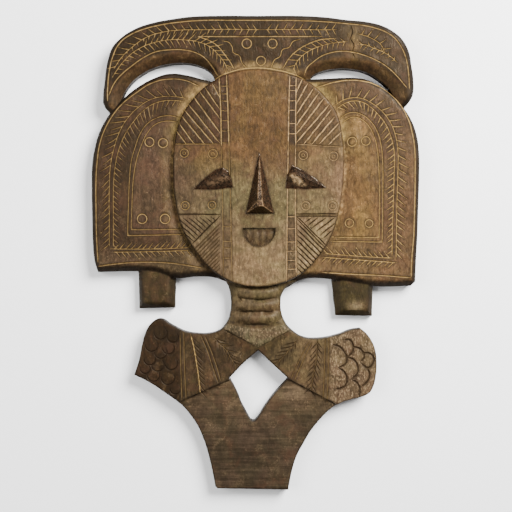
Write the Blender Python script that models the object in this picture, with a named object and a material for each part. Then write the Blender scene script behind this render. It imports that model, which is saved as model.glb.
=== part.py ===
"""A carved wooden mask on a flat board, one piece of wood, lying on its back.

X runs across the mask, Y from its foot to its crest, and Z out of the carved front. The flat back
lies at Z = 0. Outlines and lines are drawn by hand in plan millimetres on a mask 520 high, measured
from its middle, and PLAN turns them into metres.
"""

import math

import bmesh
import bpy
from mathutils import Vector
from mathutils.geometry import intersect_point_line

# Driving sizes, in metres
HEIGHT = 0.520  # from the foot to the top of the crest
WING_THICKNESS = 0.020  # the side panels
CREST_THICKNESS = 0.023
BODY_THICKNESS = 0.019  # the neck and the lozenge below it
TAB_THICKNESS = 0.016  # the two blocks that hang under the side panels
FACE_RISE = 0.006  # the face above the side panels
FACE_RIM = 0.004  # the rounded rim of the face
COVE_DEPTH = 0.0028  # the scooped band round the face
COVE_WIDTH = 0.015
CREST_EDGE = 0.0100 * HEIGHT  # the worn edges, which keep to the scale of the outlines
WING_EDGE = 0.0096 * HEIGHT
TAB_EDGE = 0.0115 * HEIGHT
NOSE_RISE = 0.017  # above the face
NOSE_TOP_RISE = 0.0020
EYE_RISE = 0.0075
EYE_TAIL_RISE = 0.0020
MOUTH_DEPTH = 0.0025
TOOTH_RISE = 0.0014  # above the floor of the mouth
NECK_RING_RISE = 0.0045  # above the lozenge
NECK_RING_DROP = 0.0065  # how far a ring falls away at the sides of the neck
COLLAR_RISE = 0.0012
FOOT_DROP = 0.0020  # the plain foot below the decorated arms
LINE_WIDTH = 0.0019  # the engraved lines
LINE_DEPTH = 0.0010
HATCH_WIDTH = 0.0015  # the hatching on the face
HATCH_DEPTH = 0.0008
LEAF_WIDTH = 0.0017  # the leaves cut along the engraved stems
LEAF_DEPTH = 0.0008
OVERLAP = 0.002  # how far a raised form is sunk into the board
CUT_CLEARANCE = 0.0002  # how far a cutter's widest part stands above the face it cuts
PLAN = HEIGHT / 520

# Sizes in plan millimetres
FACE_MIDDLE = (3, 82)
FACE_LINE_MARGIN = 0.955  # the face's lines stop short of its rim
COVE_TUCK = 0.98  # the deepest line of the scooped band runs under the rim of the face
BROW_Y = 118
CHEEK_Y = 42
LEFT_BAND_X = -38  # the outer lines of the bands beside the middle of the face
RIGHT_BAND_X = 45
MOUTH_MIDDLE = (4.5, 27)
MOUTH_WIDTH = 36
MOUTH_HEIGHT = 20
TEETH = 5
TOOTH_PITCH = 6.3
TOOTH_WIDTH = 5.1
NECK_X = 1.0
NECK_HALF_WIDTH = 26
NECK_RING_TOP = -43.5
NECK_RING_PITCH = 13.5
NECK_RING_RADIUS = 6.4
NECK_RING_SAG = 3.0  # the rings hang lower at the middle of the neck
NECK_RINGS = 3

SHARP = True  # marks a corner in an outline
PLANING = [
    (-250, -350, SHARP), (250, -350, SHARP), (250, 350, SHARP), (-250, 350, SHARP)
]
WOOD_BROWN = (0.19, 0.13, 0.08, 1.0)

# Outlines, as points in plan millimetres
CREST = [
    (-156.5, 150.5, SHARP), (-166, 161.5), (-167, 172.5), (-165.5, 186), (-163.5, 203.5),
    (-161, 214.5), (-157.5, 224.5), (-149, 234.5), (-133.5, 245), (-116, 251.5), (-94, 256),
    (-72, 259), (-48, 260), (-0.5, 260), (49, 260), (76.5, 258.5), (100.5, 255.5), (121.5, 253.5),
    (138, 249.5), (150, 243.5), (160.5, 234.5), (168, 221), (171, 205.5), (173, 190.5), (173, 176),
    (170.5, 168.5), (161, 157, SHARP), (154, 166.5, SHARP), (147, 180.5), (133.5, 192),
    (119.5, 199.5), (104, 202.5), (87.5, 202.5), (72, 199.5), (62, 194), (59.5, 189.5, SHARP),
    (7, 177), (-44, 187.5, SHARP), (-47.5, 197), (-54.5, 202.5), (-65.5, 207), (-80, 209),
    (-94, 208), (-110.5, 204), (-126, 196), (-138, 185.5), (-146.5, 171), (-149.5, 159.5, SHARP),
]
WINGS = [
    (-173, -21, SHARP), (-176.5, -10), (-178.5, 9), (-179.5, 42), (-180, 75), (-179.5, 97),
    (-177, 113.5), (-172.5, 130), (-166, 144), (-158, 155.5), (-144.5, 170), (-129, 182.5),
    (-111.5, 192), (-94, 197), (-76.5, 195.5), (-59, 191), (-43.5, 187.5, SHARP), (7, 196),
    (60, 191, SHARP), (76.5, 191.5), (98.5, 192.5), (117, 191.5), (132.5, 185.5), (148, 175),
    (161, 161.5), (171, 146.5), (177, 130), (179.5, 113.5), (180, 86), (179, 53), (178, 20),
    (176.5, -7.5), (175.5, -31.5, SHARP), (170.5, -36, SHARP), (130.5, -36.5), (98.5, -31.5),
    (69, -27.5), (51, -29), (36, -37.5, SHARP), (3, -51.5), (-34.5, -30.5, SHARP), (-47, -26.5),
    (-66.5, -26), (-87.5, -27.5), (-110.5, -21.5), (-130.5, -20),
]
BODY = [
    (-34.5, -28.5, SHARP), (-29.5, -37.5), (-27, -50.5), (-27.5, -64), (-31.5, -75.5), (-38.5, -84),
    (-49, -88), (-62, -88.5), (-77.5, -86), (-93, -78.5), (-102, -73), (-107.5, -72.5),
    (-115, -77.5), (-120.5, -87), (-124.5, -101), (-127.5, -116.5), (-133, -133.5, SHARP),
    (-116, -142), (-99.5, -153), (-83, -165), (-72, -177), (-62.5, -191.5), (-56, -207),
    (-51, -223.5), (-47.5, -238.5), (-44, -256.5, SHARP), (-42, -258.5, SHARP), (36, -260, SHARP),
    (37.5, -251), (41, -235.5), (46, -221), (52.5, -209), (60.5, -195.5), (71, -182.5),
    (82, -171.5), (91, -165.5), (104, -161), (117, -157.5), (125, -153.5), (129, -147),
    (132, -135.5), (133, -121), (131.5, -106.5), (127, -95.5), (121.5, -88), (115, -82.5, SHARP),
    (104, -84.5), (92, -89), (78.5, -92.5), (65.5, -94), (52.5, -92.5), (42, -86.5), (33.5, -77.5),
    (29, -67), (27.5, -55), (29, -45), (35, -37), (44.5, -31, SHARP), (3, -18.5),
]
DIAMOND_HOLE = [
    (3, -106.5, SHARP), (-14, -121.5), (-29, -137.5, SHARP), (-21.5, -150.5), (-14, -168.5),
    (-8, -179.5), (-5, -184), (-1.5, -184.5), (2, -181), (11, -167), (21.5, -153.5),
    (36, -137.5, SHARP), (18, -121),
]
FACE = [
    (-0.5, 201), (21.5, 199), (44.5, 193), (63.5, 183), (78.5, 168.5), (89.5, 152), (95.5, 124.5),
    (97, 97), (95.5, 71.5), (91, 44), (82, 16.5), (66.5, -7), (47, -25), (25, -34.5), (0.5, -37.5),
    (-21.5, -34), (-43.5, -22), (-65.5, 1.5), (-81, 28.5), (-88, 58.5), (-90, 86), (-89, 115.5),
    (-83, 144), (-70, 166.5), (-50, 185.5), (-26, 197),
]
LEFT_TAB = [
    (-129, -15, SHARP), (-128, -61, SHARP), (-89, -60, SHARP), (-88, -15, SHARP),
]
RIGHT_TAB = [
    (83.5, -24, SHARP), (88.5, -68.5, SHARP), (128.5, -69.5, SHARP), (129.5, -24, SHARP),
]
COLLAR = [
    (-32, -77.5, SHARP), (3, -82), (33, -77.5, SHARP), (38.5, -84.5, SHARP), (3, -104, SHARP),
    (-36.5, -83, SHARP),
]
FOOT = [
    (-83, -162.5, SHARP), (-29, -138.5, SHARP), (36, -137.5, SHARP), (91, -166.5, SHARP),
    (100, -290, SHARP), (-100, -290, SHARP),
]

# Raised forms, as the corners of a flat foot on the face and of the ridge over it
NOSE_FOOT = [(4, 109), (-10.5, 43), (20, 43)]
NOSE_TOP = (4, 104.5)
NOSE_END = [(0.5, 52.5), (9.4, 52.5)]
LEFT_EYE_FOOT = [
    (-67.5, 69.5), (-61, 76), (-52, 84), (-43.5, 90.5), (-36, 93), (-30, 89), (-26.5, 80.5),
    (-24.5, 71.5), (-45, 69),
]
LEFT_EYE_TAIL = (-57.5, 73.5)
LEFT_EYE_RIDGE = [(-37, 82.5), (-31, 80)]
RIGHT_EYE_FOOT = [(40, 95.5), (51, 90), (64.5, 81.5), (77, 71), (54.5, 69.5), (32.5, 70.5), (34, 84)]
RIGHT_EYE_TAIL = (68, 75)
RIGHT_EYE_RIDGE = [(40.5, 80.5), (47, 82.5)]

# Engraved lines, open and smooth through their points
CREST_BORDER = [
    (-162, 168.5), (-161, 185), (-157, 214.5), (-151, 226), (-141.5, 236), (-127, 243.5),
    (-83, 253), (-22.5, 255), (49, 255), (104, 251), (142.5, 243), (160, 226.5), (168, 198),
    (169, 179.5),
]
CREST_LINES = [
    [(-160, 172.5), (-146, 195.5), (-121.5, 214), (-94, 222), (-65.5, 219), (-48, 205), (-41, 195)],
    [
        (54.5, 196), (63.5, 209), (83, 219), (106, 219.5), (131.5, 211), (155.5, 192.5),
        (165.5, 180.5),
    ],
    [(-61, 236.5, SHARP), (73, 236.5, SHARP)],
    [(-61, 235), (-40.5, 225.5), (-26.5, 207), (-23, 201.5)],
    [(86.5, 234.5), (58, 228.5), (37.5, 213.5), (30.5, 202.5)],
]
LEFT_BORDER = [
    (-172.5, -10), (-174.5, 47.5), (-173, 102.5), (-164, 137.5), (-144.5, 164.5), (-114, 186),
    (-94, 190.5), (-66, 184),
]
RIGHT_BORDER = [
    (70, 183), (99.5, 189), (131.5, 184.5), (158, 163.5), (172, 131), (175, 86), (173, 20),
    (170.5, -25.5),
]
WING_LINES = [
    [
        (-84, 149), (-108, 148), (-126, 131), (-136, 100), (-139, 53), (-140, 19, SHARP),
        (-79, 20.5),
    ],
    [(-88, 144), (-109.5, 141), (-124.5, 119), (-133.5, 82.5), (-136, 25.5, SHARP), (-82, 26)],
    [(-172, -14.5), (-121.5, -10), (-61, -16)],
    [(95, 147.5), (108.5, 154), (126, 144.5), (137.5, 119), (139.5, 58.5), (139, 12, SHARP), (85, 13)],
    [(97, 143), (109.5, 149), (125, 138), (133.5, 113.5), (136, 58.5), (135.5, 17, SHARP), (88, 17.5)],
    [(170, -27), (104, -23), (76, -21)],
]
ARM_LINES = [
    [(-82.5, -85), (-80.5, -161)], [(-78.5, -86.5), (-76, -159)],
    [(-60, -89), (-53, -106.5), (-41, -142)], [(76.5, -92), (74, -160)],
    [(80.5, -92), (78.5, -162)], [(61, -96), (51.5, -112), (41, -138)],
]
SHOULDER_SCALES = [
    [(85, -100.5), (97.5, -109), (97.5, -122.5), (91, -126)],
    [(92, -127.5), (100, -137.5), (88, -149)], [(96.5, -95.5), (106.5, -101), (101, -113)],
    [(102, -115), (112, -126), (105, -138.5)], [(106.5, -140), (113, -146), (113.5, -155)],
    [(116, -108.5), (128, -115), (122.5, -126)], [(117, -122), (125, -133), (116, -146.5)],
    [(-94, -88), (-104, -95), (-103, -108)], [(-107, -84), (-115, -92), (-113, -103)],
    [(-94, -110), (-105, -116), (-103, -129)], [(-107, -105), (-118, -111), (-115, -124)],
    [(-92, -131), (-102, -137), (-99, -148)], [(-107, -126), (-119, -131), (-114, -141)],
]

# Leaf stems: the line, then each row of leaves as (side, length). They lean along the line
LEAF_PITCH = 9.4
LEAF_LEAN = 38
LEAF_START = 3.0  # from the stem to the root, along the leaf
LEAF_GAP = 1.9
CREST_STEMS = [
    ([(5, 244), (-61, 244), (-105, 240.5), (-133.5, 226), (-154.5, 201.5)], [(1, 8), (-1, 6)]),
    ([(9, 244), (88.5, 244)], [(1, 6), (-1, 8)]),
    ([(-30.5, 202), (-42.5, 219), (-63.5, 231), (-94, 233), (-126, 224), (-155.5, 193.5)],
     [(1, 8), (-1, 7)]),
    ([(41, 199), (50, 214.5), (66.5, 224.5), (100.5, 231)], [(1, 8), (-1, 7)]),
    ([(154.5, 212.5), (133.5, 221.5), (113, 227)], [(1, 7), (-1, 6)]),
    ([(142.5, 222), (130.5, 232.5), (109.5, 239.5)], [(1, 7), (-1, 6)]),
]
WING_STEMS = [
    ([(-77, 168.5), (-99.5, 169.5), (-125, 158), (-144, 134), (-156, 95), (-158, 42), (-158, 8)],
     [(1, 11), (-1, 11)]),
    ([(-155, 3.5), (-74, 5)], [(1, 9), (-1, 8)]),
    ([(89, 161), (105.5, 168), (126, 162.5), (144, 143.5), (153.5, 113), (153.5, 53), (151.5, -4)],
     [(1, 11), (-1, 11)]),
    ([(150, -8), (78, -2.5)], [(1, 9), (-1, 8)]),
]
ARM_STEMS = [
    ([(-71, -89), (-64.5, -121), (-60.5, -153)], [(1, 9), (-1, 8)]),
    ([(-46, -90), (-31.5, -106.5), (-20.5, -123)], [(1, 9), (-1, 8)]),
    ([(68, -95), (65.5, -124.5), (61, -152)], [(1, 8), (-1, 9)]),
    ([(47, -94), (30.5, -113.5), (23.5, -121)], [(1, 8), (-1, 9)]),
]

# Small engraved rings, as (x, y, radius)
CREST_CIRCLES = [(-9.4, 228.8, 5.2), (18.7, 228.8, 5.0), (6.1, 210, 5.0)]
WING_CIRCLES = [
    (-116, 121.6, 5.0), (-101.2, 120.5, 5.0), (-124, 37.5, 5.2), (-99, 37.5, 5.2),
    (106, 122, 5.0), (121, 122.9, 4.8), (103, 33, 4.6), (124.5, 32.5, 4.2),
]
FACE_CIRCLES = [
    (-77, 107.5, 4.2), (-48, 107.5, 4.6), (-75, 53.5, 4.4), (-48, 53.4, 4.2), (53.5, 105, 4.6),
    (84, 105, 4.6), (55.6, 52.5, 4.4), (81, 52.5, 4.4),
]
RUNG_YS = [182, 173.5, 165.5, 155, 144, 133]  # of both bands, above the brow
LOWER_RUNG_YS = [26.5, 12.5, 2, -8, -18]


def clear_scene():
    for obj in list(bpy.data.objects):
        bpy.data.objects.remove(obj)


def make_collection(name):
    made = bpy.data.collections.new(name)
    bpy.context.scene.collection.children.link(made)
    return made


def place(point, height=0.0):
    """A point drawn in plan millimetres, at a height in metres."""
    return Vector((point[0] * PLAN, point[1] * PLAN, height))


def smooth_spline(data, points, closed, height):
    """A Bezier spline through the points, with a corner at each point marked SHARP."""
    spline = data.splines.new("BEZIER")
    spline.bezier_points.add(len(points) - 1)
    for knot, point in zip(spline.bezier_points, points):
        knot.co = place(point, height)
        kind = "VECTOR" if len(point) > 2 else "AUTO"
        knot.handle_left_type = kind
        knot.handle_right_type = kind
    spline.use_cyclic_u = closed


def mesh_of(obj):
    """The object's shape as a mesh of its own. The object is removed."""
    depsgraph = bpy.context.evaluated_depsgraph_get()
    mesh = bpy.data.meshes.new_from_object(obj.evaluated_get(depsgraph))
    bpy.data.objects.remove(obj)
    return mesh


def curve_data(name, steps):
    data = bpy.data.curves.new(name, "CURVE")
    data.dimensions = "3D"
    data.resolution_u = steps
    return data


def curve_mesh(data):
    guide = bpy.data.objects.new(data.name, data)
    bpy.context.scene.collection.objects.link(guide)
    return mesh_of(guide)


def points_along(points, closed, steps):
    """The corners of the smooth line through the points, in metres."""
    data = curve_data("guide", steps)
    smooth_spline(data, points, closed, 0.0)
    return [v.co.copy() for v in curve_mesh(data).vertices]


def helper(name, mesh):
    """A solid that shapes the mask and isn't shown."""
    obj = bpy.data.objects.new(name, mesh)
    SHAPING.objects.link(obj)
    obj.hide_render = True
    obj.display_type = "WIRE"
    return obj


def mesh_from(bm, name):
    bmesh.ops.recalc_face_normals(bm, faces=bm.faces)
    mesh = bpy.data.meshes.new(name)
    bm.to_mesh(mesh)
    bm.free()
    return mesh


def slab(name, points, base, top, edge_steps=(), steps=2):
    """A board from base to top. Its upper edge is one ring for each (inward, upward) step."""
    bm = bmesh.new()
    wall_top = top - sum(rise for _, rise in edge_steps)
    ring = [bm.verts.new((p.x, p.y, base)) for p in points_along(points, True, steps)]
    floor = bm.faces.new(ring)
    floor.normal_update()
    if floor.normal.z < 0:
        floor.normal_flip()
    raised = bmesh.ops.extrude_face_region(bm, geom=[floor], use_keep_orig=True)["geom"]
    lifted = [part for part in raised if isinstance(part, bmesh.types.BMVert)]
    bmesh.ops.translate(bm, verts=lifted, vec=(0, 0, wall_top - base))
    top_face = next(part for part in raised if isinstance(part, bmesh.types.BMFace))
    for inward, upward in edge_steps:
        bmesh.ops.inset_region(
            bm, faces=[top_face], thickness=inward, depth=upward, use_even_offset=True
        )
    return helper(name, mesh_from(bm, name))


def round_edge(width, rings=2):
    """The (inward, upward) steps of a quarter round."""
    angles = [math.pi / 2 * k / rings for k in range(rings + 1)]
    return [
        (width * (math.cos(a) - math.cos(b)), width * (math.sin(b) - math.sin(a)))
        for a, b in zip(angles, angles[1:])
    ]


def rods(name, lines, radius, sides, height, steps, closed=False):
    """Round rods along the lines, with welded ends, as one mesh. sides is an even number."""
    data = curve_data(name, steps)
    data.bevel_depth = radius
    data.bevel_resolution = (sides - 4) // 2
    data.use_fill_caps = True
    for points in lines:
        smooth_spline(data, points, closed, height)
    bm = bmesh.new()
    bm.from_mesh(curve_mesh(data))
    bmesh.ops.remove_doubles(bm, verts=bm.verts, dist=0.00001)
    return helper(name, mesh_from(bm, name))


def engraving(name, lines, width, depth, height, steps=2, closed=False):
    """A cutter for V-shaped lines in a flat top at this height."""
    slope = depth / (width / 2)
    cutter = rods(name, lines, width / 2 + CUT_CLEARANCE / slope, 4, height, steps, closed)
    for vert in cutter.data.vertices:
        vert.co.z = height + CUT_CLEARANCE + (vert.co.z - height) * slope
    return cutter


def notches(name, lines, width, depth, height):
    """A cutter for leaf-shaped nicks, each deepest near its root, in a flat top."""
    bm = bmesh.new()
    for root, tip in lines:
        run = tip - root
        side = Vector((-run.y, run.x)).normalized() * width / PLAN
        lifted = height + depth
        corners = [place(root + side, lifted), place(root - side, lifted)]
        corners.append(place(tip + run * 0.5, lifted))
        corners.append(place(root + run * 0.3, height - depth))
        bmesh.ops.convex_hull(bm, input=[bm.verts.new(corner) for corner in corners])
    return helper(name, mesh_from(bm, name))


def wedge(name, foot, base, ridge):
    """The solid round a flat foot at the height of base and the (point, height) corners of ridge."""
    bm = bmesh.new()
    corners = [place(point, base) for point in foot]
    corners += [place(point, height) for point, height in ridge]
    verts = [bm.verts.new(corner) for corner in corners]
    bmesh.ops.convex_hull(bm, input=verts)
    return helper(name, mesh_from(bm, name))


def join_meshes(name, objects):
    """One helper made of several that don't touch."""
    bm = bmesh.new()
    for obj in objects:
        bm.from_mesh(obj.data)
        bpy.data.objects.remove(obj)
    return helper(name, mesh_from(bm, name))


def combine(target, other, operation, crossing=False):
    """Adds a Boolean. crossing says that the other solid's own parts run through one another."""
    modifier = target.modifiers.new(other.name, "BOOLEAN")
    modifier.operation = operation
    modifier.solver = "EXACT"
    modifier.use_self = crossing
    modifier.object = other


def circle_line(x, y, radius, sides=6):
    angles = [2 * math.pi * k / sides for k in range(sides)]
    return [(x + radius * math.cos(a), y + radius * math.sin(a)) for a in angles]


def clip(start, end, corners):
    """The part of a straight line inside a convex polygon given anticlockwise, or None."""
    enter = 0.0
    leave = 1.0
    run = end - start
    for a, b in zip(corners, corners[1:] + corners[:1]):
        inward = Vector((a.y - b.y, b.x - a.x))
        speed = inward.dot(run)
        room = inward.dot(start - a)
        if abs(speed) < 1e-12:
            if room < 0:
                return None
            continue
        crossing = -room / speed
        if speed > 0:
            enter = max(enter, crossing)
        else:
            leave = min(leave, crossing)
    if leave - enter < 0.02:
        return None
    return start + run * enter, start + run * leave


def face_polygon():
    """The anticlockwise outline, in plan millimetres, that the face's lines keep inside."""
    middle = Vector(FACE_MIDDLE)
    points = [Vector((p.x / PLAN, p.y / PLAN)) for p in points_along(FACE, True, 2)]
    return [middle + (p - middle) * FACE_LINE_MARGIN for p in reversed(points)]


def hatch(region, outline, first, step, direction, count):
    """Parallel straight lines across a convex region of the face."""
    corners = [Vector(corner) for corner in region]
    half = Vector(direction) * 200
    lines = []
    for k in range(count):
        middle = Vector(first) + Vector(step) * k
        ends = clip(middle - half, middle + half, outline)
        ends = ends and clip(ends[0], ends[1], corners)
        if ends:
            lines.append([tuple(ends[0]), tuple(ends[1])])
    return lines


def across_face(outline, y, left, right):
    ends = clip(Vector((left, y)), Vector((right, y)), outline)
    return [tuple(ends[0]), tuple(ends[1])]


def face_long_lines(outline):
    """The bands beside the middle of the face, and its brow and cheek lines."""
    bands = [
        ((LEFT_BAND_X, 220), (-36, -60)), ((-30.5, 220), (-26.5, -60)),
        ((37.5, 220), (34.5, -60)), ((RIGHT_BAND_X, 220), (44, -60)),
    ]
    lines = []
    for top, bottom in bands:
        ends = clip(Vector(top), Vector(bottom), outline)
        lines.append([tuple(ends[0]), tuple(ends[1])])
    lines.append(across_face(outline, BROW_Y, -120, LEFT_BAND_X))
    lines.append(across_face(outline, BROW_Y, RIGHT_BAND_X, 120))
    lines.append(across_face(outline, CHEEK_Y, -120, LEFT_BAND_X))
    lines.append(across_face(outline, CHEEK_Y, RIGHT_BAND_X, 120))
    return lines


def face_hatching(outline):
    """The slanting lines of the forehead and cheeks, and the rungs of the bands."""
    top_left = [
        (-120, BROW_Y + 2), (LEFT_BAND_X - 2, BROW_Y + 2), (LEFT_BAND_X - 2, 220), (-120, 220)
    ]
    top_right = [
        (RIGHT_BAND_X + 2, BROW_Y + 2), (120, BROW_Y + 2), (120, 220), (RIGHT_BAND_X + 2, 220)
    ]
    lines = hatch(top_left, outline, (-40, 182), (0, -13.4), (1, -1.35), 12)
    lines += hatch(top_right, outline, (47, 178), (0, -12.6), (1, 1.35), 12)
    left_corner = (LEFT_BAND_X - 2, CHEEK_Y - 2)
    right_corner = (RIGHT_BAND_X + 2, CHEEK_Y - 2)
    left_upper = [left_corner, (-120, CHEEK_Y - 2), (-120, CHEEK_Y - 80)]
    right_upper = [right_corner, (120, CHEEK_Y - 75), (120, CHEEK_Y - 2)]
    left_lower = [left_corner, (-120, CHEEK_Y - 84), (-120, -60), (LEFT_BAND_X - 1, -60)]
    right_lower = [right_corner, (RIGHT_BAND_X + 1, -60), (120, -60), (120, CHEEK_Y - 75)]
    lines += hatch(left_upper, outline, (-49, CHEEK_Y), (-7.2, 0), (1, -0.8), 8)
    lines += hatch(right_upper, outline, (60, CHEEK_Y), (10, 0), (1, 0.7), 7)
    lines += hatch(left_lower, outline, left_corner, (0, -7.5), (1, 1), 9)
    lines += hatch(right_lower, outline, right_corner, (0, -7.5), (1, -0.97), 9)
    for y in RUNG_YS:
        lines.append([(LEFT_BAND_X + 1.5, y), (-31.5, y)])
        lines.append([(38.5, y), (RIGHT_BAND_X - 1.5, y)])
    for y in LOWER_RUNG_YS:
        lines.append([(-35, y), (-29.5, y)])
        lines.append([(37, y), (42.5, y)])
    return lines


def plan_path(points, closed=False):
    return [Vector((p.x / PLAN, p.y / PLAN)) for p in points_along(points, closed, 6)]


def is_clear(root, tip, paths):
    """Whether a leaf keeps LEAF_GAP from all the other drawn lines."""
    for point in (root, (root + tip) / 2, tip):
        for path in paths:
            for a, b in zip(path, path[1:]):
                near, share = intersect_point_line(point, a, b)
                near = b if share > 1 else a if share < 0 else near
                if (point - Vector(near[:2])).length < LEAF_GAP:
                    return False
    return True


def leaves(stem, rows, taken):
    """(root, tip) of the leaves that lean forward from a stem, for rows of (side, length)."""
    path = plan_path(stem)
    lines = []
    for side, length in rows:
        turn = math.radians(LEAF_LEAN) * side
        wait = LEAF_PITCH * 0.5
        for a, b in zip(path, path[1:]):
            run = b - a
            along = wait
            while along < run.length:
                root = a + run.normalized() * along
                x, y = run.normalized()
                lean = Vector((
                    x * math.cos(turn) - y * math.sin(turn), x * math.sin(turn) + y * math.cos(turn)
                ))
                root += lean * LEAF_START
                tip = root + lean * (length - LEAF_START)
                if is_clear(root, tip, taken):
                    lines.append((root, tip))
                along += LEAF_PITCH
            wait = along - run.length
    return lines


def carving(name, height, lines, circles, stems):
    """Cutters for smooth lines, small rings, and leaf stems with their leaves, in one flat top."""
    drawn = list(lines) + [stem for stem, _ in stems]
    cutters = [engraving(name + "_lines", drawn, LINE_WIDTH, LINE_DEPTH, height)]
    paths = {id(line): plan_path(line) for line in drawn}
    if circles:
        rings = [circle_line(x, y, radius) for x, y, radius in circles]
        paths.update({id(ring): plan_path(ring, True) for ring in rings})
        cutters.append(
            engraving(name + "_rings", rings, LINE_WIDTH, LINE_DEPTH, height, 1, closed=True)
        )
    cuts = []
    for stem, rows in stems:
        others = [path for key, path in paths.items() if key != id(stem)]
        added = leaves(stem, rows, others)
        cuts += added
        paths.update({id(leaf): leaf for leaf in added})
    if cuts:
        cutters.append(notches(name + "_leaves", cuts, LEAF_WIDTH, LEAF_DEPTH, height))
    return cutters


def add_neck_rings(mask):
    top = BODY_THICKNESS + NECK_RING_RISE - NECK_RING_RADIUS * PLAN
    half = NECK_HALF_WIDTH * PLAN
    for k in range(NECK_RINGS):
        y = NECK_RING_TOP - NECK_RING_PITCH * k
        line = [
            (NECK_X - NECK_HALF_WIDTH, y + NECK_RING_SAG), (NECK_X, y),
            (NECK_X + NECK_HALF_WIDTH, y + NECK_RING_SAG),
        ]
        ring = rods(f"neck_ring_{k + 1}", [line], NECK_RING_RADIUS * PLAN, 8, top, 3)
        for vert in ring.data.vertices:
            share = (vert.co.x - NECK_X * PLAN) / half
            vert.co.z -= NECK_RING_DROP * share ** 4
        combine(mask, ring, "UNION")


def mouth_drop(x, half_width, height):
    """How far below its straight lip the mouth reaches at x, both from the middle of the mouth."""
    return height * math.sqrt(max(0.0, 1 - (x / half_width) ** 2))


def add_mouth(mask, face_top):
    middle_x, lip = MOUTH_MIDDLE
    half = MOUTH_WIDTH / 2
    angles = [math.pi * k / 10 for k in range(11)]
    outline = [
        (middle_x - half * math.cos(a), lip - MOUTH_HEIGHT * math.sin(a), SHARP) for a in angles
    ]
    floor = face_top - MOUTH_DEPTH
    combine(mask, slab("mouth", outline, floor, face_top + OVERLAP, steps=1), "DIFFERENCE")
    teeth = []
    for k in range(TEETH):
        x = (k - (TEETH - 1) / 2) * TOOTH_PITCH
        left = middle_x + x - TOOTH_WIDTH / 2
        right = middle_x + x + TOOTH_WIDTH / 2
        outer = abs(x) + TOOTH_WIDTH / 2
        low = lip - mouth_drop(outer, half, MOUTH_HEIGHT) + 1.2
        high = lip - MOUTH_HEIGHT * 0.24
        corners = [
            (left, low, SHARP), (right, low, SHARP), (right, high, SHARP), (left, high, SHARP)
        ]
        teeth.append(slab("tooth", corners, floor - OVERLAP, floor + TOOTH_RISE, steps=1))
    combine(mask, join_meshes("teeth", teeth), "UNION")


def add_features(mask, face_top):
    """The nose and the eyes, raised from the face."""
    base = face_top - OVERLAP
    nose_ridge = [(NOSE_TOP, face_top + NOSE_TOP_RISE)]
    nose_ridge += [(point, face_top + NOSE_RISE) for point in NOSE_END]
    left_ridge = [(LEFT_EYE_TAIL, face_top + EYE_TAIL_RISE)]
    left_ridge += [(point, face_top + EYE_RISE) for point in LEFT_EYE_RIDGE]
    right_ridge = [(RIGHT_EYE_TAIL, face_top + EYE_TAIL_RISE)]
    right_ridge += [(point, face_top + EYE_RISE) for point in RIGHT_EYE_RIDGE]
    combine(mask, wedge("nose", NOSE_FOOT, base, nose_ridge), "UNION")
    combine(mask, wedge("left_eye", LEFT_EYE_FOOT, base, left_ridge), "UNION")
    combine(mask, wedge("right_eye", RIGHT_EYE_FOOT, base, right_ridge), "UNION")


def cove_cutter():
    """The cutter for the scooped band round the face."""
    cove = rods("cove", [FACE], COVE_WIDTH + OVERLAP, 8, 0.0, 2, closed=True)
    middle = place(FACE_MIDDLE)
    for vert in cove.data.vertices:
        if vert.co.z < 0:
            vert.co.z *= (COVE_DEPTH + CUT_CLEARANCE) / (COVE_WIDTH + OVERLAP)
        vert.co.xy = middle.xy + (vert.co.xy - middle.xy) * COVE_TUCK
        vert.co.z += WING_THICKNESS + CUT_CLEARANCE
    return cove


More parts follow.
